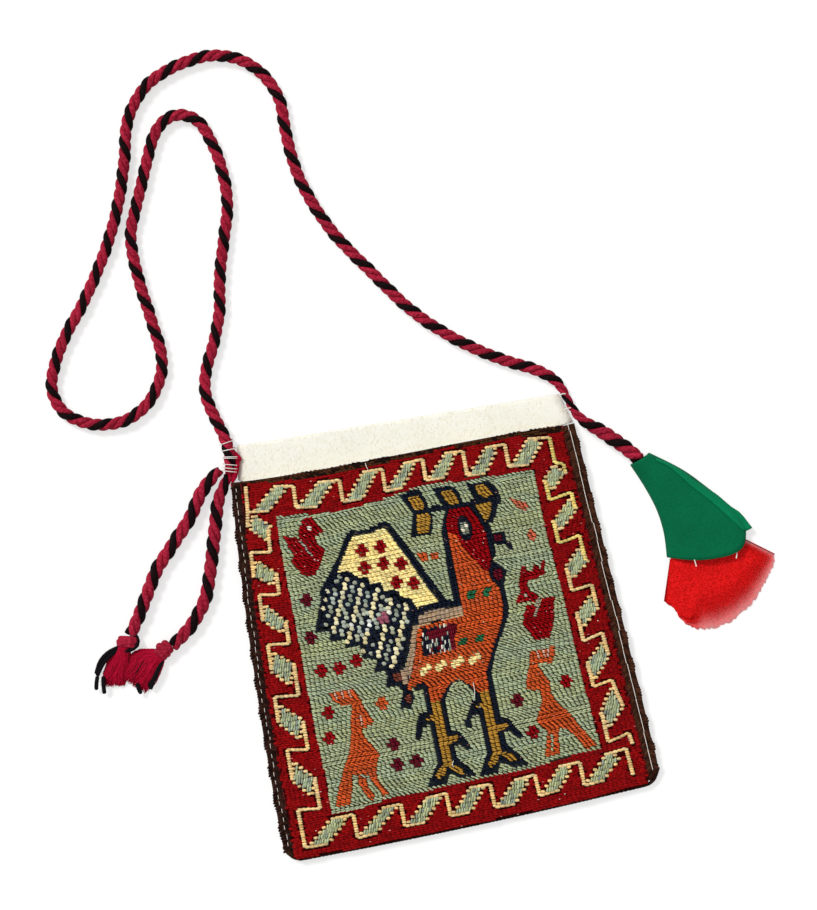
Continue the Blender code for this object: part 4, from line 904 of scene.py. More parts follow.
def dyes_at(points):
    """The name of the dye at each point of the field."""
    names = np.full(len(points), "sage", object)
    for name, shape in SHAPES:
        names[inside(points, shape)] = name
    for name, width, line in LINES:
        names[near(points, line, width / 2)] = name
    for name, centres in CROSSES:
        for x, y in centres:
            aside, above = np.abs(points[:, 0] - x), points[:, 1] - snapped(y, ROW)
            for half_across, half_up in CROSS_BARS:
                names[(aside < half_across) & (np.abs(above) < half_up)] = name
    return names


print("dye in the middle:", dyes_at(np.zeros((1, 2)))[0])

# %% The feathers and the saddle
rng = random.Random(11)
CHECKS = [
    (-49.5, 33.5), (-51, 30), (-52.5, 26), (-54.5, 20), (-56, 16.2), (-49.6, 16.2), (-49.6, 11),
    (-43.6, 11), (-43.6, 7.2), (-36.4, 7.2), (-36.2, 0.6), (-30.4, -0.6), (-30.6, -6.8), (-26.4, -6.8),
    (-25, -8.6), (-20.5, -8.6), (-19, -5), (-15.8, 1), (-13.6, 7), (-11, 14), (-9.2, 18.5), (-14, 22.3),
    (-14.6, 25.6), (-21.6, 26.6), (-22.6, 31), (-28, 31.6), (-28.4, 35.4), (-35, 36.4), (-36, 39.4),
    (-43, 40.4),
]
SADDLE_CHECKS = [
    (-5.6, 6.8), (8, 6.2), (10.6, 5.6), (9.6, 2), (8.6, -2), (8.4, -6.6), (-8, -6.6), (-7.4, 0), (-6.2, 4),
]
FEATHER_STEP, FEATHER_ROW, FEATHER_LEAN = 2.21, 2.0, 0.435
SADDLE_STEP, SADDLE_ROW, SADDLE_SLANT = 1.0, 2.05, 1.4


def checks(step, row_height, shape, lean, bead_of):
    """Small round stitches in leaning columns. bead_of gives each its dye, shift and size."""
    low, high = np.min(shape, axis=0), np.max(shape, axis=0)
    cells = []
    margin = 30
    for row in range(math.floor(low[1] / row_height), math.ceil(high[1] / row_height) + 1):
        y = row * row_height
        for column in range(math.floor((low[0] - margin) / step), math.ceil((high[0] + margin) / step)):
            name, shift, size = bead_of(column, row)
            cells.append((column * step + lean * y + shift, y, name, size))
    hits = inside(np.array([cell[:2] for cell in cells]), shape)
    return [cell for cell, hit in zip(cells, hits) if hit]


def feather_bead(column, row):
    """Chains that zigzag, pale and grey by turns, with navy between them."""
    chain, shift = (column + 1) % 4, 0.5 if row % 2 else -0.5
    if chain == 0:
        return ("ivory" if rng.random() < 0.95 else "white"), shift, (2.8, 2.4)
    if chain == 2:
        return rng.choice(("silver", "silver", "silver", "grey", "navy")), -shift, (2.7, 2.3)
    return ("silver" if rng.random() < 0.05 else "navy"), 0, (2.6, 2.3)


def saddle_stick(column, row):
    """Upright sticks in grey, white and navy, round a maroon middle and beside a maroon edge."""
    x, y = column * SADDLE_STEP, row * SADDLE_ROW
    if x > 6.4 or (-4 < x and 1.5 < y < 4.5 and rng.random() < 0.8):
        return "maroon", 0, (2.3, 1.1)
    return rng.choice(("silver", "grey", "white", "navy", "maroon", "navy", "silver", "navy")), 0, (2.3, 0.9)


print("corners of the feathers and the saddle:", len(CHECKS), len(SADDLE_CHECKS))

# %% The strands of a row
COLUMN = 2.3
MIXED = {"eye": ["white", "grey", "ash", "navy"]}
# Dyes whose strands lie flatter and are wider: a share of the slant, and the width
FLAT_DYES = {"taupe": (0.1, 1.2), "straw": (0.6, 1.16)}
STRAND_APART, STRAND_WIDTH, STRAND_OVERLAP = 0.86, 0.96, 1.16


def row_runs(names, xs):
    """Stretches of one dye along a row, as their start, end and dye."""
    runs, start = [], 0
    for place in range(1, len(names) + 1):
        if place == len(names) or names[place] != names[start]:
            half = (xs[1] - xs[0]) / 2
            runs.append((xs[start] - half, xs[place - 1] + half, names[start]))
            start = place
    return [run for run in runs if run[2]]


def strands_in(run, y, slant):
    """Even strands that fill a run of one dye."""
    start, end, name = run
    count = max(round((end - start) / COLUMN), 1)
    length = (end - start) / count
    flatter, width = FLAT_DYES.get(name, (1, STRAND_WIDTH))
    return [(start + length * (number + 0.5), y, rng.choice(MIXED.get(name, [name])),
             (length * STRAND_OVERLAP, width), slant * flatter) for number in range(count)]


print("mean length of a strand:", COLUMN)

# %% The field, row by row
SLANT = math.radians(-25)
FIELD_ROWS, FIELD_EDGE, FINE_STEP = range(-36, 38), 71, 0.575
xs = np.arange(-FIELD_EDGE, FIELD_EDGE, FINE_STEP)
strands = []
for row in FIELD_ROWS:
    slant = SLANT * rng.choice((1.2, 1.1, 1.0, 0.8, 0.9, 1.1, -0.3))
    for y in (row * ROW + STRAND_APART / 2, row * ROW - STRAND_APART / 2):
        points = np.column_stack([xs, np.full(len(xs), y)])
        names = dyes_at(points)
        names[~inside(points, FIELD) | inside(points, CHECKS) | inside(points, SADDLE_CHECKS)] = None
        for run in row_runs(names, xs):
            strands += strands_in(run, y, slant)
PINK_PATCH, PINK_REACH = (-24, 15.5), 3
feathers = checks(FEATHER_STEP, FEATHER_ROW, CHECKS, FEATHER_LEAN, feather_bead)
feathers = [(x, y, "pink" if math.dist((x, y), PINK_PATCH) < PINK_REACH else name, size)
            for x, y, name, size in feathers]
saddle = checks(SADDLE_STEP, SADDLE_ROW, SADDLE_CHECKS, 0.0, saddle_stick)
print("strands:", len(strands), "feathers:", len(feathers), "saddle:", len(saddle))

# %% The lines of the border
border_stitches = []


def along_line(line, pitch):
    """Even places along a line of straight parts, with their direction."""
    places = []
    for start, end in zip(line, line[1:]):
        start, step = np.array(start, float), np.subtract(end, start)
        length = float(np.linalg.norm(step))
        count = max(round(length / pitch), 1)
        for number in range(count):
            x, y = start + step * (number + 0.5) / count
            places.append((x, y, math.atan2(step[1], step[0])))
    return places


# At the upper right, the weaver took yellow instead of cream
YELLOW_RIGHT_OF, YELLOW_ABOVE = 67.5, 20
for line in BORDER_LINES:
    for start, end in zip(line, line[1:]):
        steep = abs(math.sin(math.atan2(end[1] - start[1], end[0] - start[0]))) > 0.7
        yellow = min(start[0], end[0]) > YELLOW_RIGHT_OF and min(start[1], end[1]) > YELLOW_ABOVE
        for x, y, angle in along_line([start, end], 1.25 if steep else 2.2):
            size, slant = ((2.3, 1.45), -0.12) if steep else ((2.8, 1.7), angle - 0.1)
            border_stitches.append((x, y, "yellow" if yellow else "cream", size, slant))


print("stitches on the lines:", len(border_stitches))

# %% The leaves of the border
def crossings(shape, y):
    """The leftmost and the rightmost place where a shape is at a height."""
    found = []
    for (x0, y0), (x1, y1) in zip(shape, shape[1:] + shape[:1]):
        if (y0 > y) != (y1 > y):
            found.append(x0 + (x1 - x0) * (y - y0) / (y1 - y0))
    return min(found), max(found)


LEAF_STEP, STROKE_STEP, LEAF_EDGE = 2.15, 1.2, 1.6
for leaf in LEAVES:
    low, high = min(y for x, y in leaf), max(y for x, y in leaf)
    count = round((high - low) / LEAF_STEP)
    for level in range(count):
        y = low + (high - low) * (level + 0.5) / count
        left, right = crossings(leaf, y)
        for x in (left, right):
            x += rng.uniform(-0.3, 0.3)
            border_stitches.append((x, y, "cream", (2.3, 1.6), rng.uniform(-0.4, 0.1)))
        strokes = max(int((right - left - LEAF_EDGE) / STROKE_STEP), 0)
        for number in range(strokes):
            x = (left + right) / 2 + (number - (strokes - 1) / 2) * STROKE_STEP
            shade = "sage" if rng.random() < 0.8 else "grey"
            border_stitches.append((x, y + rng.uniform(-0.3, 0.3), shade, (2.9, 1.25), 1.25))


print("stitches with the leaves:", len(border_stitches))

# %% The red between them, and the mouth's brown edge
BAND = [
    (-88, 92.6), (-78, 92.3), (-70, 91.3), (-60, 90.6), (-50, 89.9), (-35, 89.6), (-20, 89.6), (-10, 90.3),
    (10, 91.4), (20, 91.8), (40, 91.3), (60, 90.6), (70, 90), (88, 90.2), (88, 94), (-88, 94),
]
BORDER_ROWS, BORDER_COLUMNS = range(-82, 82), range(-42, 43)
FINE_ROW, BORDER_STEP = 1.16, 2.25
LINE_ROOM, LEAF_ROOM = 1.35, 0.8
fine = []
for row in BORDER_ROWS:
    shift = rng.random() * 2
    fine += [(column * BORDER_STEP + shift, row * FINE_ROW) for column in BORDER_COLUMNS]
fine = np.array(fine)
keep = ~inside(fine, FIELD)
for line in BORDER_LINES:
    keep &= ~near(fine, line, LINE_ROOM)
for leaf in LEAVES:
    keep &= ~(inside(fine, leaf) | near(fine, leaf + leaf[:1], LEAF_ROOM))
fine = fine[keep]
for (x, y), brown in zip(fine, inside(fine, BAND)):
    if brown:
        shade = "brown" if rng.random() < 0.65 else "umber"
        border_stitches.append((x, y, shade, (2.6, 1.2), rng.uniform(-0.5, 0)))
    else:
        border_stitches.append((x, y, "madder", (2.75, 1.5), -0.05))
print("border stitches:", len(border_stitches))

# %% [markdown]
# ## A tree that lays stitches
# Every stitch is the same small loop of yarn with another dye, size and turn. Geometry Nodes put one bead
# with few faces on each point and read those three from the points. Copying meshes in Python would do the
# same, only slower. The result is then kept as a plain mesh.

# %% The stitch-laying tree
def new_grower(name, inputs):
    """An empty tree for geometry, with its named inputs."""
    group = bpy.data.node_groups.new(name, "GeometryNodeTree")
    group.interface.new_socket("Geometry", in_out="INPUT", socket_type="NodeSocketGeometry")
    group.interface.new_socket("Geometry", in_out="OUTPUT", socket_type="NodeSocketGeometry")
    for socket, (kind, value) in inputs.items():
        item = group.interface.new_socket(socket, in_out="INPUT", socket_type=kind)
        if value is not None:
            item.default_value = value
    tree = Tree(group)
    given = group.nodes.new("NodeGroupInput")
    return tree, {socket.name: Wire(tree, socket) for socket in given.outputs if socket.name}


def noted(tree, name, kind):
    """A value that the points carry."""
    return tree.node("GeometryNodeInputNamedAttribute", {"data_type": kind}, {"Name": name})


def finished(tree, shape, material):
    """Closes a tree: smooth, with its finish."""
    smooth = tree.node("GeometryNodeSetShadeSmooth", None, {"Geometry": shape})
    dressed = tree.node("GeometryNodeSetMaterial", None, {"Geometry": smooth, "Material": material})
    output = tree.tree.nodes.new("NodeGroupOutput")
    tree.join(dressed, output.inputs["Geometry"])


stitching, given = new_grower("lay_stitches", {
    "Sides": ("NodeSocketInt", 6), "Rings": ("NodeSocketInt", 5), "Blunt": ("NodeSocketFloat", 0.45),
    "Yarn": ("NodeSocketMaterial", None)})
bead = stitching.node("GeometryNodeMeshUVSphere", None,
                      {"Segments": given["Sides"], "Rings": given["Rings"], "Radius": 0.5})
spot = stitching.node("GeometryNodeInputPosition")
x, y, z = [stitching.node("ShaderNodeSeparateXYZ", None, {0: spot}, out=axis) for axis in range(3)]
spread = x.maths("MAXIMUM", (x * x + y * y) * 4, 0.0001) ** (given["Blunt"] * -0.5)
swollen = stitching.node("ShaderNodeCombineXYZ", None, {0: x * spread, 1: y * spread, 2: z})
blunt = stitching.node("GeometryNodeSetPosition", None, {"Geometry": bead, "Position": swollen})
lying = stitching.node("GeometryNodeTransform", None, {"Geometry": blunt, "Rotation": (0, math.pi / 2, 0)})
laid = stitching.node("GeometryNodeInstanceOnPoints", None, {
    "Points": given["Geometry"], "Instance": lying, "Rotation": noted(stitching, "turn", "FLOAT_VECTOR"),
    "Scale": noted(stitching, "size", "FLOAT_VECTOR")})
real = stitching.node("GeometryNodeRealizeInstances", None, {"Geometry": laid})
finished(stitching, real, given["Yarn"])
print("nodes that lay a stitch:", len(stitching.tree.nodes))

# %% Running a tree
def keep_result(piece, modifier):
    """Gives a piece the mesh that its modifier makes, and takes the modifier off."""
    bpy.context.view_layer.update()
    mesh = bpy.data.meshes.new_from_object(piece.evaluated_get(bpy.context.evaluated_depsgraph_get()))
    piece.modifiers.remove(modifier)
    piece.data = mesh
    return mesh


def grown(name, mesh, tree, **values):
    """Runs a tree on a mesh and keeps its result as a plain piece."""
    piece = bpy.data.objects.new(name, mesh)
    scene.collection.objects.link(piece)
    grower = piece.modifiers.new("grow", "NODES")
    grower.node_group = tree.tree
    for item in tree.tree.interface.items_tree:
        if item.in_out == "INPUT" and item.name in values:
            grower[item.identifier] = values[item.name]
    mesh = keep_result(piece, grower)
    for note in ("turn", "size", "thick"):
        if note in mesh.attributes:
            mesh.attributes.remove(mesh.attributes[note])
    print(name, "faces:", len(mesh.polygons))
    return piece


print("trees can run")

# %% The finish of the dyed wool, and stitches laid with it
# The fuzz makes the dye much darker and lighter from place to place: random tone of the hairs, and painted
# highlights and painted shade on the strands
wool = fuzzy_finish("dyed_wool", (0.3, 0.1, 0.1), roughness=0.85, scale=1500, shades=(0.1, 1.85),
                    dents=(0.2 * MM, 0.7), stretch=(0.5, 2, 1), turn=0.35)


def carry(mesh, name, kind, key, values):
    """Writes a value on each point of a mesh."""
    mesh.attributes.new(name, kind, "POINT").data.foreach_set(key, np.ravel(values).astype(float))


def laid_stitches(name, places, turns, sizes, dyes, sides, rings):
    """Lays a stitch on each place, with a turn, a size and a dye of its own."""
    mesh = bpy.data.meshes.new(name)
    mesh.from_pydata([tuple(place) for place in places], [], [])
    carry(mesh, "turn", "FLOAT_VECTOR", "vector", turns)
    carry(mesh, "size", "FLOAT_VECTOR", "vector", sizes)
    carry(mesh, "dye", "FLOAT_COLOR", "color", dyes)
    return grown(name, mesh, stitching, Sides=sides, Rings=rings, Yarn=wool)


print("stitches can be laid with", wool.name)

# %% How a stitch lies on the front
DYE_LOTS = [
    (1, 1, 1), (1.06, 1.02, 0.9), (0.96, 1, 1.03), (1.03, 1.02, 0.95), (0.94, 0.98, 1.05), (1.02, 1, 0.97),
]
LOT_HEIGHT, DYE_SPREAD = 7.3, 0.24


def wavy(x, y):
    """The weaver's rows aren't quite straight."""
    return y + 0.35 * math.sin(x / 17 + y / 29) + 0.2 * math.sin(x / 6.3 - y / 11)


def dyed(name, y):
    """A dye that varies a little from stitch to stitch, and from one dye lot to the next."""
    shade = 1 + rng.uniform(-DYE_SPREAD, DYE_SPREAD)
    lot = DYE_LOTS[round(y / LOT_HEIGHT + rng.uniform(-0.5, 0.5)) % len(DYE_LOTS)]
    return (*[value * shade * tint for value, tint in zip(YARN[name], lot)], 1)


def stitched(name, stitches, thickness, lift, rings, sides=6):
    """Lays stitches, each given by its place, dye, size and slant, on the front."""
    places, turns, sizes, dyes = [], [], [], []
    for x, y, dye_name, (length, width), slant in stitches:
        hit = on_front(x, wavy(x, y) + rng.uniform(-0.1, 0.1))
        if hit is None:
            continue
        place, normal = hit
        tilt = Vector((0, 0, 1)).rotation_difference(normal).to_matrix()
        slant += rng.uniform(-0.09, 0.09)
        out = tilt @ Vector((0, 0, 1))
        ahead = tilt @ Vector((math.cos(slant), math.sin(slant), 0))
        places.append(place + normal * lift)
        turns.append(tuple(Matrix((ahead, out.cross(ahead), out)).transposed().to_euler()))
        wide = 1 + rng.uniform(-0.07, 0.07)
        sizes.append((length * wide * MM, width * wide * MM, thickness))
        dyes.append(dyed(dye_name, y))
    return laid_stitches(name, places, turns, sizes, dyes, sides, rings)


print("dye lots:", len(DYE_LOTS))

# %% The stitches of the front
def specks_on(stitches, names, share):
    """Light hairs and bits of other yarn on a few of the stitches."""
    specks = []
    for x, y, name, size, slant in stitches:
        if name in names and rng.random() < share:
            bit = (rng.uniform(0.5, 1.3), rng.uniform(0.25, 0.5))
            shade = rng.choice(("blush", "blush", "blush", "white"))
            specks.append((x + rng.uniform(-0.9, 0.9), y + rng.uniform(-0.4, 0.4), shade, bit, slant))
    return specks


field_stitches = [stitch for stitch in strands if stitch[2] == "sage"]
figure_stitches = [stitch for stitch in strands if stitch[2] != "sage"]
feather_stitches = [(*bead, SLANT + rng.uniform(-0.5, 0.5)) for bead in feathers]
feather_stitches += [(*bead, SADDLE_SLANT) for bead in saddle]
field = stitched("field_stitches", field_stitches, thickness=1.6 * MM, lift=0.05 * MM, rings=4)
figures = stitched("figure_stitches", figure_stitches, thickness=1.6 * MM, lift=0.1 * MM, rings=4)
feathered = stitched("feather_stitches", feather_stitches, thickness=0.9 * MM, lift=0.25 * MM, rings=5)
GROUND_DYES = ("madder", "brown", "umber")
red_stitches = [stitch for stitch in border_stitches if stitch[2] in GROUND_DYES]
line_stitches = [stitch for stitch in border_stitches if stitch[2] not in GROUND_DYES]
border = stitched("border_stitches", red_stitches, thickness=0.8 * MM, lift=0.05 * MM, rings=4)
meander = stitched("meander_stitches", line_stitches, thickness=1.3 * MM, lift=0.15 * MM, rings=5)
speck_stitches = specks_on(red_stitches, ["madder"], 0.014) + specks_on(strands, ["red"], 0.1)
speck_stitches += specks_on(strands, ["orange", "maroon", "mustard", "navy"], 0.03)
specks = stitched("specks", speck_stitches, thickness=0.5 * MM, lift=0.6 * MM, rings=4, sides=5)

# %% The ground under the stitches, painted dark as the shade between them
ground = fuzzy_finish("stitch_ground", (0.1, 0.03, 0.02), roughness=0.95, scale=1800, shades=(0.7, 0.6),
                      dents=(0.15 * MM, 0.8))
front = cloth_copy("front_cloth", "front_panel", 3 * MM, ground)
# How dark the painted shade under a dye is, as a share of the dye; other dyes take 0.1
GROUND_SHADE_DEPTH = {"straw": 0.4, "taupe": 0.3}


def ground_painted_shade(piece):
    """The stitches' dyes read back from the chart and darkened for the cloth under them: painted shade in the
    gaps between stitches.
    """
    mesh = piece.data
    places = np.empty(len(mesh.vertices) * 3)
    mesh.vertices.foreach_get("co", places)
    places = places.reshape(-1, 3)
    b = (places[:, 1] + origin_above_middle()) / HALF_CHART[1]
    a = (places[:, 0] + LEFT_BOW * (1 - b * b) / 2) / half_width(b)
    points = np.column_stack([a * HALF_CHART[0], b * HALF_CHART[1]]) / MM
    names = np.where(inside(points, FIELD), dyes_at(points), "red")
    names[inside(points, BAND)] = "brown"
    colours = [tinted(YARN[name], GROUND_SHADE_DEPTH.get(name, 0.1)) for name in names]
    carry(mesh, "dye", "FLOAT_COLOR", "color", colours)


ground_painted_shade(front)

# %% [markdown]
# ## A tree that draws yarn along a line
# Running stitches, whipping, loose threads and the fluff of the tufts are all thin yarn along a line. One
# tree turns any line of points into a closed tube, as thick and as dyed as its points say.

# %% The yarn-drawing tree
drawing, given = new_grower("draw_yarn", {"Sides": ("NodeSocketInt", 6),
                                          "Yarn": ("NodeSocketMaterial", None)})
curves = drawing.node("GeometryNodeMeshToCurve", None, {"Mesh": given["Geometry"]})
ring = drawing.node("GeometryNodeCurvePrimitiveCircle", None, {"Resolution": given["Sides"], "Radius": 1.0})
thick = noted(drawing, "thick", "FLOAT")
tubes = drawing.node("GeometryNodeCurveToMesh", None, {"Curve": curves, "Profile Curve": ring,
                                                       "Fill Caps": True, "Scale": thick})
finished(drawing, drawing.node("GeometryNodeRealizeInstances", None, {"Geometry": tubes}), given["Yarn"])

thread = fuzzy_finish("plain_thread", (0.8, 0.78, 0.72), roughness=0.75, scale=1700, shades=(0.78, 0.44),
                      dents=(0.12 * MM, 0.7))


def drawn(name, lines, sides=6):
    """Draws lines, each a list of places, a thickness for all or for each of them, and a colour."""
    places, edges, radii, dyes = [], [], [], []
    for line, thickness, colour in lines:
        first = len(places)
        places += [tuple(place) for place in line]
        edges += [(first + number, first + number + 1) for number in range(len(line) - 1)]
        widths = thickness if isinstance(thickness, list) else [thickness] * len(line)
        radii += [width / 2 for width in widths]
        dyes += [(*colour, 1)] * len(line)
    mesh = bpy.data.meshes.new(name)
    mesh.from_pydata(places, edges, [])
    carry(mesh, "thick", "FLOAT", "value", radii)
    carry(mesh, "dye", "FLOAT_COLOR", "color", dyes)
    return grown(name, mesh, drawing, Sides=sides, Yarn=thread)


print("thread:", thread.name)

# %% [markdown]
# ## The overcast side seams
# Along each side the cloths are overcast with dark brown wool, which makes two ridges with a groove between
# them, and a white thread runs in the groove. The ridges are laid stitches that lean into each other like
# the turns of a rope, over a plain brown core.

# %% The seams' ground
core_wool = fuzzy_finish("seam_core", (0.035, 0.013, 0.006), roughness=0.95, scale=900, shades=(0.5, 1),
                         dents=(0.3 * MM, 0.8), stretch=(1, 3, 1), dye=(0.045, 0.017, 0.008))
left_core = cloth_copy("left_seam", "left_binding", 3 * MM, core_wool, 0.1 * MM)
right_core = cloth_copy("right_seam", "right_binding", 3 * MM, core_wool, 0.1 * MM)
left_surface, right_surface = surface_of("left_seam"), surface_of("right_seam")
seam_rng = random.Random(5)
SEAM_BROWN, SEAM_BLACK, SEAM_MAROON = (0.045, 0.016, 0.008), (0.026, 0.010, 0.007), (0.080, 0.010, 0.010)
BESIDE_SEAM = 4.6 * MM
print("seams:", left_core.name, right_core.name)

# %% Leaning stitches along the seams
def seam_place(side, inset, b):
    """A place on a seam, inset from the pouch's edge."""
    return outline_place(side * (1 - inset / half_width(b)), b)


def ridge(side, inset, width, lean, low, high, dye=SEAM_BROWN, pitch=1.35 * MM):
    """Leaning stitches along one ridge of a seam. The outermost ridge wanders the most."""
    surface = left_surface if side < 0 else right_surface
    stitches = []
    count = round((high - low) * HALF_CHART[1] / pitch)
    swing = (0.55 if inset < 2 * MM else 0.25) * MM
    for number in range(count):
        b = low + (high - low) * (number + 0.5) / count
        wobble = seam_rng.uniform(-0.25, 0.25) * MM + swing * math.sin(number / 1.7)
        place = seam_place(side, inset + wobble, b)
        ahead = seam_place(side, inset, b + 0.01) - seam_place(side, inset, b - 0.01)
        angle = math.atan2(ahead.y, ahead.x) + lean + seam_rng.uniform(-0.12, 0.12)
        shade = seam_rng.uniform(0.35, 1.6)
        below = dropped(surface, place)[0]
        level = below.z + 0.1 * MM if below else BESIDE_SEAM
        size = (3.2 * MM, 0.62 * width, 1.7 * MM)
        stitches.append(((*place, level), (0, 0, angle), size, tinted(dye, shade)))
    return stitches


def seam_stitches(name, *ridges):
    """Lays the stitches of some ridges as one piece."""
    stitches = [stitch for made in ridges for stitch in made]
    return laid_stitches(name, *zip(*stitches), sides=7, rings=6)


# Each ridge: how far in from the edge, how wide, how its stitches lean, and where it starts and ends
left_ridges = seam_stitches(
    "left_overcast", ridge(-1, 5.15 * MM, 2.6 * MM, 0.1, -0.975, 0.99, dye=SEAM_MAROON, pitch=1.1 * MM),
    ridge(-1, 1.1 * MM, 2.3 * MM, -0.9, -0.955, 0.985, dye=SEAM_BLACK),
    ridge(-1, 3.9 * MM, 2.3 * MM, 0.9, -0.97, 0.985, dye=SEAM_BLACK))
right_ridges = seam_stitches(
    "right_overcast", ridge(1, 6.65 * MM, 2.6 * MM, -0.1, -0.975, 0.99, dye=SEAM_MAROON, pitch=1.1 * MM),
    ridge(1, 1.3 * MM, 2.6 * MM, 0.9, -0.93, 0.985), ridge(1, 4.9 * MM, 2.6 * MM, -0.9, -0.97, 0.985),
    ridge(1, 3.2 * MM, 2.2 * MM, 0.6, -0.95, 0.985))

# %% The yarn along the bottom edge, which also stands for the shade where the edge turns under
def bottom_corner(side):
    """Places round a bottom corner, from the end of the side seam to the bottom edge."""
    return [seam_place(side, 1.6 * MM, -0.93), seam_place(side, 2.8 * MM, -0.96),
            outline_place(side * 0.957, -0.985), outline_place(side * 0.935, -1.002)]


BOTTOM_EDGE = [outline_place(a, -1.008) for a in steps(-0.9, 0.9, 12)]
EDGE_PATH = bottom_corner(-1) + BOTTOM_EDGE + bottom_corner(1)[::-1]


def edge_yarn_and_painted_shade():
    """Dark stitches along the bottom, from one seam round both corners to the other: the overcast edge, and
    painted shade where the edge turns under.
    """
    stitches = []
    for share in steps(0, 1, 150):
        here, ahead, behind = [Vector(between(EDGE_PATH, min(max(share + nudge, 0), 1)))
                               for nudge in (0, 0.002, -0.002)]
        run = ahead - behind
        angle = math.atan2(run.y, run.x) + seam_rng.uniform(-0.15, 0.15)
        corner = max(abs(share - 0.5) * 2 - 0.7, 0) / 0.3
        size = (2.6 * MM, (1.6 + 2.4 * corner) * MM, 1.6 * MM)
        shade = seam_rng.uniform(0.5, 1.5)
        stitches.append(((*here, (2.8 + 1.0 * corner) * MM), (0, 0, angle), size, tinted(SEAM_BLACK, shade)))
    return stitches


bottom_edge = seam_stitches("bottom_edge", edge_yarn_and_painted_shade())

# %% The running stitches
WHITE = (0.80, 0.76, 0.70)


def running(side, inset, length, gap, thickness, height, dip):
    """White running stitches in the groove of a seam, their ends dipping into it."""
    lines, b = [], -0.93
    while b < 0.97:
        end = b + length * seam_rng.uniform(0.75, 1.25) / HALF_CHART[1]
        drift = 0.3 * MM * math.sin(b * 13) + 0.25 * MM * math.sin(b * 47)
        line = []
        for share in steps(0, 1, 4):
            x, y = seam_place(side, inset + drift, b + (end - b) * share)
            line.append((x, y, height - dip * (2 * share - 1) ** 6))
        lines.append((line, thickness, WHITE))
        b = end + gap * seam_rng.uniform(0.6, 1.4) / HALF_CHART[1]
    return lines


left_running = running(-1, inset=2.55 * MM, length=3 * MM, gap=1.1 * MM, thickness=0.28 * MM,
                       height=5.6 * MM, dip=1.1 * MM)
right_running = running(1, inset=3.2 * MM, length=9 * MM, gap=0.2 * MM, thickness=0.34 * MM,
                        height=6.4 * MM, dip=0.3 * MM)
running_thread = drawn("running_thread", left_running + right_running)

# %% [markdown]
# ## Corner threads and loose threads
# The cord's end at the left corner is bound with white thread, and a few stitches hold it at the right one.
# Some threads have come loose, and they are kept, because they are part of how the pouch looks today.

# %% The bound corner
def pixel_line(pixels, height, lift=0.0):
    """A line through pixels, at a height that may rise in the middle."""
    line = []
    for share in steps(0, 1, 8):
        line.append((*along_photo(pixels, share), height + lift * math.sin(math.pi * share)))
    return line


def strap_place(share):
    """A place in the middle of the strap."""
    u, v, height = between(STRAP_ROUTE, share)[:3]
    return Vector((*photo_place(u, v), height * MM))


def binding_turns(first, last, turns):
    """Turns of thread round the cord, between two points of its route."""
    line = []
    for share in steps(0, 1, turns * 16):
        along = (first + (last - first) * share) / (len(STRAP_ROUTE) - 1)
        centre = strap_place(along)
        aside = (strap_place(along + 0.001) - centre).cross(Vector((0, 0, 1))).normalized()
        angle = 2 * math.pi * turns * share
        radius = STRAP_DIAMETER / 2 + 0.45 * MM + 0.12 * MM * math.sin(angle * 0.37)
        line.append(centre + aside * math.cos(angle) * radius + Vector((0, 0, math.sin(angle) * radius)))
    return line


# Where turns of the white thread start and end, in points of the strap's route, and how many there are
WHIPPING_TURNS = [
    (0.12, 0.26, 1), (0.42, 0.5, 1), (0.68, 0.84, 1), (1.2, 1.42, 2), (1.85, 1.95, 1), (2.3, 2.4, 1),
]
whipping = drawn("corner_threads", [
    (binding_turns(*turns), 0.46 * MM, WHITE) for turns in WHIPPING_TURNS], sides=7)

# %% Stitches at the right corner, and loose threads
RIGHT_CORNER_STITCHES = [[(559, 396), (562, 394), (565, 394)], [(564, 410), (567, 408.5), (570, 408)]]
corner_stitches = drawn("right_corner_stitches", [
    (pixel_line(line, 4.6 * MM, 0.6 * MM), 0.6 * MM, WHITE) for line in RIGHT_CORNER_STITCHES])


def chart_line(points, lift):
    """A loose thread over the front."""
    line = []
    for share in steps(0, 1, 6):
        place, normal = on_front(*between(points, share))
        line.append(place + normal * (1.0 * MM + lift * math.sin(math.pi * share)))
    return line


LOOSE = [[(13.5, -24), (13.2, -29), (12, -33)], [(-3.5, -60), (-4.4, -61.5), (-4, -63)],
         [(-20, 92.3), (-19.6, 90.5), (-19, 88.5)]]
loose_threads = drawn("loose_threads", [
    (chart_line(line, 0.5 * MM), 0.35 * MM, WHITE) for line in LOOSE], sides=5)

# %% [markdown]
# ## Knots and tufts
# Each short cord ends in a knot, below which its yarns are frayed to a fluffy tuft. The knot is a few thick
# turns of yarn. A tuft is about a thousand fine fibres that fan out, each with its own bend, which no solid
# with a fuzzy material would show at its ragged edge. A few black ends stick out, and at the strap's left
# end a short bundle of crimson yarn lies over the corner.

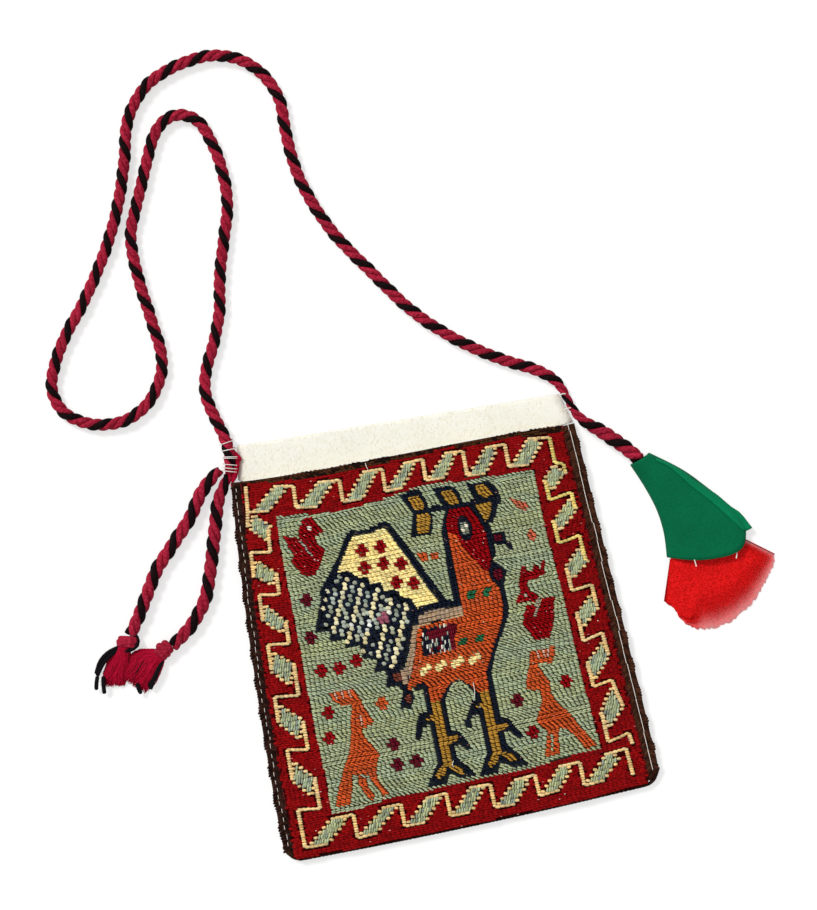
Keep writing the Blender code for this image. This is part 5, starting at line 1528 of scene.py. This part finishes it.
# %% Knots
def knot(name, pixel, size, turns):
    """Thick turns of crimson yarn, each with a tilt, a shift along the knot and a thickness."""
    centre = Vector((*photo_place(*pixel), size[2] / 2 + 0.1 * MM))
    across = Vector((*(photo_place(pixel[0] + 1, pixel[1]) - photo_place(*pixel)).normalized(), 0))
    up = Vector((-across.y, across.x, 0))
    form = bmesh.new()
    uv = form.loops.layers.uv.new("along_yarn")
    for tilt, shift, thickness in turns:
        axis = across * math.cos(tilt) + up * math.sin(tilt)
        cross = Vector((-axis.y, axis.x, 0))
        half_length = 1 / math.hypot(math.cos(tilt) * 2 / size[0], math.sin(tilt) * 2 / size[1])
        half_cross = 1 / math.hypot(math.sin(tilt) * 2 / size[0], math.cos(tilt) * 2 / size[1])
        slim = math.sqrt(max(1 - shift ** 2, 0.1))
        path, out = [], []
        for angle in steps(0, 2 * math.pi, 28):
            radial = cross * math.cos(angle) * half_cross + Vector((0, 0, math.sin(angle) * size[2] / 2))
            lean = axis * 0.12 * half_length * math.sin(angle)
            path.append(centre + axis * shift * half_length + radial * (slim - thickness / size[2]) + lean)
            out.append(radial.normalized())
        path, out = np.array(path), np.array(out)
        along = np.linspace(0, 0.02, len(path))
        tube(form, uv, path, out, np.full(len(path), thickness / 2), 10, along, 0)
    bmesh.ops.recalc_face_normals(form, faces=form.faces[:])
    return new_piece(name, kept_mesh(name, form), crimson_yarn)


knot_a = knot("knot_turns_a", (128, 641.8), (16 * MM, 6.0 * MM, 7.0 * MM), [
    (1.45, -0.55, 2.5 * MM), (1.75, -0.12, 3.1 * MM), (1.7, 0.26, 3.1 * MM), (1.5, 0.6, 2.3 * MM)])
knot_b = knot("knot_turns_b", (164, 649.6), (11 * MM, 10.2 * MM, 7.6 * MM), [
    (0.95, -0.5, 3.3 * MM), (0.8, 0.0, 3.7 * MM), (0.7, 0.5, 3.3 * MM)])
print("knots:", knot_a.name, knot_b.name)

# %% Tufts
CRIMSON, BLACK = (0.40, 0.004, 0.028), (0.005, 0.004, 0.005)
TUFT_HEIGHT, TUFT_LOWEST = 5.6 * MM, 0.35 * MM


def side_place(left_side, right_side, a, t):
    """A place between two sides drawn from the cord outwards: a runs from -1 at the right side to 1."""
    within = min(t, 1)
    left, right = along_photo(left_side, within), along_photo(right_side, within)
    start = photo_place(*left_side[0]) + photo_place(*right_side[0])
    end = photo_place(*left_side[-1]) + photo_place(*right_side[-1])
    beyond = (end - start).normalized() * (t - within) * (left - right).length
    return right.lerp(left, (a + 1) / 2) + beyond


def tuft(name, left_side, right_side, count, seed):
    """Fine fibres that fan out from a knot. One in a hundred is black."""
    fluff = random.Random(seed)
    lines = []
    for number in range(count):
        a0, a1 = fluff.uniform(-0.9, 0.9), fluff.uniform(-1.0, 1.0)
        level, reach = fluff.random(), fluff.uniform(0.72, 1.12)
        wave, phase = fluff.uniform(0.1, 0.75) * MM, fluff.uniform(0, 6.3)
        start = -0.06 if fluff.random() < 0.7 else fluff.uniform(0, 0.5)
        dark = fluff.random() < 0.01
        shade = fluff.uniform(0.7, 1.2)
        colour = (0.010, 0.007, 0.009) if dark else tinted(CRIMSON, shade)[:3]
        line = []
        for share in steps(0, 1, 5):
            t = start + (reach - start) * share
            a = a0 + (a1 - a0) * share ** 0.8
            place = side_place(left_side, right_side, a, max(t, 0))
            crown = TUFT_HEIGHT * (1 - 0.5 * min(max(t, 0), 1)) * (0.4 + 0.6 * math.sqrt(max(1 - a * a, 0)))
            height = TUFT_LOWEST + (crown - TUFT_LOWEST) * level + wave * math.sin(phase + share * 5) * share
            sway = Vector((math.sin(phase + share * 7), math.cos(phase * 1.7 + share * 6))) * wave * share
            line.append((*(place + sway), max(height, 0.3 * MM)))
        lines.append((line, [0.58 * MM] * 4 + [0.44 * MM, 0.18 * MM], colour))
    return drawn(name, lines, sides=4)


tuft_a = tuft("tuft_fibres_a", [(119, 646), (107, 660), (102, 684)], [(131, 647), (131, 662), (126, 683)],
              count=900, seed=3)
tuft_b = tuft("tuft_fibres_b", [(158, 649), (134, 650), (120, 673)], [(166, 656), (161, 676), (148, 691)],
              count=1200, seed=4)

# %% Black ends and the bundle
BLACK_ENDS = [
    [(120, 649), (111, 655), (104, 663), (98, 675)], [(119, 647), (109, 652), (101, 661), (97, 673)],
    [(98, 677), (97, 688)], [(104, 677), (105, 692)], [(163, 660), (158, 672), (151, 688)],
    [(162, 661), (157, 673), (150, 686)], [(138, 684), (141, 692)],
    [(135, 634), (138.6, 639), (137.6, 645.5), (131, 649.5), (123, 650.5), (116, 648)],
]
BUNDLE = [([(232, 450), (238, 457), (241.5, 460.5)], 2.6), ([(235, 456), (237, 466), (232, 486)], 3.2),
          ([(229, 462), (229, 474), (228, 486)], 3.4)]
BUNDLE_TAPER = [0.5, 1, 1, 1, 1, 1, 1, 0.4, 0.4]
bundle = drawn("corner_bundle", [
    (pixel_line(line, 3.6 * MM), [share * thick * MM for share in BUNDLE_TAPER], CRIMSON)
    for line, thick in BUNDLE], sides=9)
black_ends = drawn("black_yarn_ends", [
    (pixel_line(line, 3.0 * MM, 1.6 * MM), 2.1 * MM, BLACK) for line in BLACK_ENDS], sides=8)

# %% [markdown]
# ## The green cone
# A piece of green felt is wrapped round the cord's end and sewn, so that one edge laps over the other along
# the right side and ends in a tip. It flares towards the tulle that comes out of it.

# %% The felt
def felt_finish(name, light):
    """Green felt: short fuzz, with soft lighter and darker clouds; light makes the whole lighter, as painted
    light.
    """
    felt = Finish(name, (0.004, 0.150, 0.066), 0.8)
    fuzz = felt.noise(felt.place(), 900, 4)
    cloud = felt.noise(felt.place(), 60, 2)
    lit = felt.mix(fuzz, (0.001, 0.088, 0.034, 1), (0.002, 0.165, 0.068, 1))
    felt.give("Base Color", felt.shade(lit, light * (0.8 + cloud * 0.4)))
    felt.bump(fuzz, 0.25 * MM, 0.55)
    return felt.material


felt = felt_finish("green_felt", light=1.0)
# The lap is the same felt, painted lighter where it catches more light: painted light
flap_felt = felt_finish("flap_felt", light=1.45)
print("felts:", felt.name, flap_felt.name)

# %% The cone's outline
CONE_LEFT_SIDE = [(631, 464), (646, 487), (658, 510), (665, 533), (668, 557)]
CONE_RIGHT_SIDE = [(648, 454), (680, 470), (704, 487), (728, 507), (744, 529)]
HEM = [(744, 529), (744, 539), (740.5, 548), (731, 554), (717, 557.5), (700, 559.5), (683, 559), (668, 557)]
FLAP_OUTER = [(655, 458), (669, 463), (681, 470), (693, 480), (705, 487), (717, 495), (730, 506), (740, 513),
              (751, 527)]
FLAP_INNER = [(655, 461), (668, 467), (680, 477), (691, 487), (702, 495), (713, 504), (723, 513), (732, 521),
              (743, 531)]
FELT_THICKNESS = 0.8 * MM


def hemmed_place(sides, hem, a, t, power):
    """A place between two sides, drawn towards a hem line the more, the further out it lies."""
    to_hem = along_photo(hem, (a + 1) / 2) - side_place(*sides, a, 1)
    return side_place(*sides, a, t) + to_hem * min(t, 1) ** power


def cone_place(a, t):
    """A place on the flattened cone's upper wall."""
    place = hemmed_place((CONE_LEFT_SIDE, CONE_RIGHT_SIDE), HEM, a, t, power=3)
    crown = (9 - 2.2 * t) * MM * (0.3 + 0.7 * math.sqrt(max(1 - a * a, 0)))
    dent = 0.35 * MM * math.sin(a * 4 + t * 3) * math.sin(t * 5) * (1 - a * a)
    return Vector((*place, crown + dent))


print("middle of the cone:", cone_place(0, 0.5))

# %% A thin shell
def shell(name, grid_rows, thickness, finish, fades=None):
    """A closed thin shell under a grid of places, which may carry how much it fades out."""
    rows, columns = len(grid_rows), len(grid_rows[0])
    places = [tuple(place) for row in grid_rows for place in row]
    faces = [(r * columns + c, r * columns + c + 1, (r + 1) * columns + c + 1, (r + 1) * columns + c)
             for r in range(rows - 1) for c in range(columns - 1)]
    mesh = bpy.data.meshes.new(name)
    mesh.from_pydata(places, [], faces)
    if fades:
        carry(mesh, "fade", "FLOAT", "value", fades)
    form = bmesh.new()
    form.from_mesh(mesh)
    bmesh.ops.recalc_face_normals(form, faces=form.faces[:])
    if sum(face.normal.z for face in form.faces) < 0:
        bmesh.ops.reverse_faces(form, faces=form.faces[:])
    form.to_mesh(mesh)
    form.free()
    piece = new_piece(name, mesh, finish)
    wall = piece.modifiers.new("wall", "SOLIDIFY")
    wall.thickness, wall.offset = thickness, -1
    keep_result(piece, wall)
    return piece


print("shells ready")

# %% The cone and its lap
def cone_shell():
    """The whole flattened tube of felt: over the top and back underneath."""
    rows = []
    for t in steps(0, 1, 24):
        top = [cone_place(a, t) for a in steps(-1, 1, 24)]
        under = [Vector((*cone_place(a, t).xy, 0.1 * MM + 0.6 * MM * abs(a) ** 6))
                 for a in steps(1, -1, 24)[1:-1]]
        rows.append(top + under + top[:1])
    return rows


def flap_shell():
    """The strip of felt that laps over the cone along its right side."""
    rows, level = [], 3 * MM
    for t in steps(0, 1, 32):
        outer, inner = along_photo(FLAP_OUTER, t), along_photo(FLAP_INNER, t)
        row = []
        for share in steps(1, 0, 8):
            spot = outer.lerp(inner, share)
            below = dropped(cone_surface, spot)[0]
            level = below.z if below else level
            swell = 0.9 * MM * (0.45 + 0.55 * (1 - share) * share * 4)
            row.append(Vector((*spot, max(level, 2.6 * MM) + swell)))
        rows.append(row)
    return rows


cone = shell("felt_cone", cone_shell(), FELT_THICKNESS, felt)
cone_surface = surface_of("felt_cone")
flap = shell("felt_flap", flap_shell(), FELT_THICKNESS, flap_felt)
print("felt:", cone.name, flap.name)

# %% Threads at the hem
# Threads at the hem: pixels, a height in millimetres and a colour
HEM_RED = (0.30, 0.003, 0.005)
HEM_THREADS = [
    ([(670, 559), (667, 580), (664, 601)], 2.6, HEM_RED),
    ([(742, 538), (758, 546), (774, 554)], 2.6, HEM_RED),
    ([(693, 559), (694, 562), (695, 566)], 7, WHITE),
    ([(735, 550), (735.5, 554), (735, 558)], 6, WHITE),
]
hem_stitches = drawn("hem_stitches", [
    (pixel_line(line, height * MM), 0.6 * MM, colour) for line, height, colour in HEM_THREADS])

# %% [markdown]
# ## Red tulle
# Three layers of stiff net come out of the cone. Where they lie over each other they look solid red, and
# at the margins only one layer is left, which is sheer and frayed. Each layer's net lets some light through.

# %% The net
def net_finish(name, body, weight, glow):
    """Fine net: red threads, with weight as the share of light that the holes between them stop, and glow as
    the strength of its own faint red glow, which is painted light.
    """
    net = Finish(name, body, 0.55)
    place = net.place((1 / (0.62 * MM), 1 / (0.62 * MM), 1), 0.6)
    across, along = net.part_of(place, "X"), net.part_of(place, "Y")
    threads = across.maths("MAXIMUM", across.wave(), along.wave())
    speck = (net.noise(net.place(), 1300, 3) * 3 - 1).clipped()
    wander = net.noise(net.place(), 120, 2)
    bright = (*[min(1.2 * value + 0.01, 1) for value in body], 1)
    lit = net.mix(speck, tinted(body, 0.5), bright)
    net.give("Base Color", net.shade(lit, 0.85 + wander * 0.3))
    fade = net.node("ShaderNodeAttribute", {"attribute_name": "fade"}, out=2)
    net.give("Alpha", ((threads ** 3 * (1 - weight) + weight) * fade).clipped())
    net.bump(threads + speck, 0.2 * MM, 0.8)
    # Painted light: the net glows faintly red, to brighten it where its layers and the paper under it lie in
    # shade
    net.give("Emission Color", (1.0, 0.03, 0.03, 1))
    net.give("Emission Strength", glow)
    return net.material


sheer = net_finish("sheer_net", (1.0, 0.04, 0.04), weight=0.66, glow=0.09)
dense = net_finish("dense_net", (0.95, 0.002, 0.002), weight=0.95, glow=0.03)
print("nets:", sheer.name, dense.name)

# %% The three layers
TULLE_LEFT_SIDE = [(675, 543), (670, 560), (667, 582), (664, 601)]
TULLE_RIGHT_SIDE = [(734, 527), (745, 539), (759, 546), (774, 554)]
TULLE_HEM = [
    (774, 554), (774, 563), (769, 574), (763, 586), (755, 599), (744, 611), (731, 621), (716, 628),
    (702, 629), (690, 626), (681, 620), (674, 609), (664, 601),
]
TULLE_THICKNESS = 0.25 * MM


def tulle(name, layer, finish):
    """One rippled layer with a frayed edge."""
    fray = random.Random(40 + layer)
    columns = steps(-1, 1, 72)
    frayed = [fray.uniform(-1, 1) for a in columns]
    rows, fades = [], []
    for t in steps(0, 1, 36):
        row = []
        for a, frayed_by in zip(columns, frayed):
            leftness = min(max(2 * a - 0.6, 0), 1)
            reach = t * (1 - 0.05 * layer * (1 - 0.8 * leftness)) * (1 + 0.012 * frayed_by * t ** 6)
            side = 1 - (1 - a) * (1 - 0.028 * layer)
            place = hemmed_place((TULLE_LEFT_SIDE, TULLE_RIGHT_SIDE), TULLE_HEM, side, reach, power=2)
            ripple = 0.3 * MM * reach * (1 - math.cos(side * math.pi * 4))
            crease = 0.06 * MM * math.sin(side * 31 + reach * 9) * reach
            level = layer * (0.7 - 0.1 * reach) * MM
            row.append(Vector((*place, 0.5 * MM + 2.4 * MM * (1 - reach) + ripple + crease + level)))
            margin = min(1 - t + 0.5 * leftness, 1.4 * (1 + a))
            fades.append(min(1, 4.5 * margin) if layer else min(1, 0.55 + 2.5 * margin))
        rows.append(row)
    return shell(name, rows, TULLE_THICKNESS, finish, fades)


tulle_layers = [tulle("tulle_layer_1", 0, sheer), tulle("tulle_layer_2", 1, dense),
                tulle("tulle_layer_3", 2, dense)]
print("layers:", len(tulle_layers))

# %% [markdown]
# ## Telling the frame what is what
# Nothing on the pouch moves by a joint, so every piece rides on the one body. Each cloth and cord stands in
# for its solid, which is hidden.

# %% Riding and replacing
PIECES = {
    front: ["front_panel"], back: ["back_panel"], lining: ["lining"], left_core: ["left_binding"],
    right_core: ["right_binding"], strap: ["strap"], tail_a: ["tail_cord_a"], tail_b: ["tail_cord_b"],
    whipping: ["corner_whipping"], knot_a: ["knot_a"], knot_b: ["knot_b"], tuft_a: ["tuft_a"],
    tuft_b: ["tuft_b"], cone: ["pendant_cone"], tulle_layers[0]: ["tulle_1"],
    tulle_layers[1]: ["tulle_2"], tulle_layers[2]: ["tulle_3"],
}
TRIMS = [field, figures, feathered, border, meander, specks, left_ridges, right_ridges, bottom_edge,
         running_thread, corner_stitches, loose_threads, black_ends, bundle, flap, hem_stitches]
for piece, nodes in PIECES.items():
    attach(piece, "root")
    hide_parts(*nodes)
for piece in TRIMS:
    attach(piece, "root")
print("pieces:", len(PIECES) + len(TRIMS))

# %% Cords and cloths: the strap's exit, the cords' lines and their lengths
strap_exit = (*photo_place(230, 472.5), 4.4 * MM)
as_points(strap_line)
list(photo_place(220, 470))
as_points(tail_a_line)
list(photo_place(229, 475.5))
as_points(tail_b_line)
for number, (layer, cut) in enumerate(zip(tulle_layers, (0.0020, 0.0018, 0.0016))):
    0.060 - 0.001 * number
    0.047 - 0.002 * number
print("cord lengths:", round(strap_length, 3), round(tail_a_length, 3), round(tail_b_length, 3))

# %% Sizes before and after, then the end
def plain(box):
    return [[round(float(value), 6) for value in corner] for corner in box]


{"cad": plain(cad_box), "visual": plain(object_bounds())}
print("cad", plain(cad_box), "visual", plain(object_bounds()))
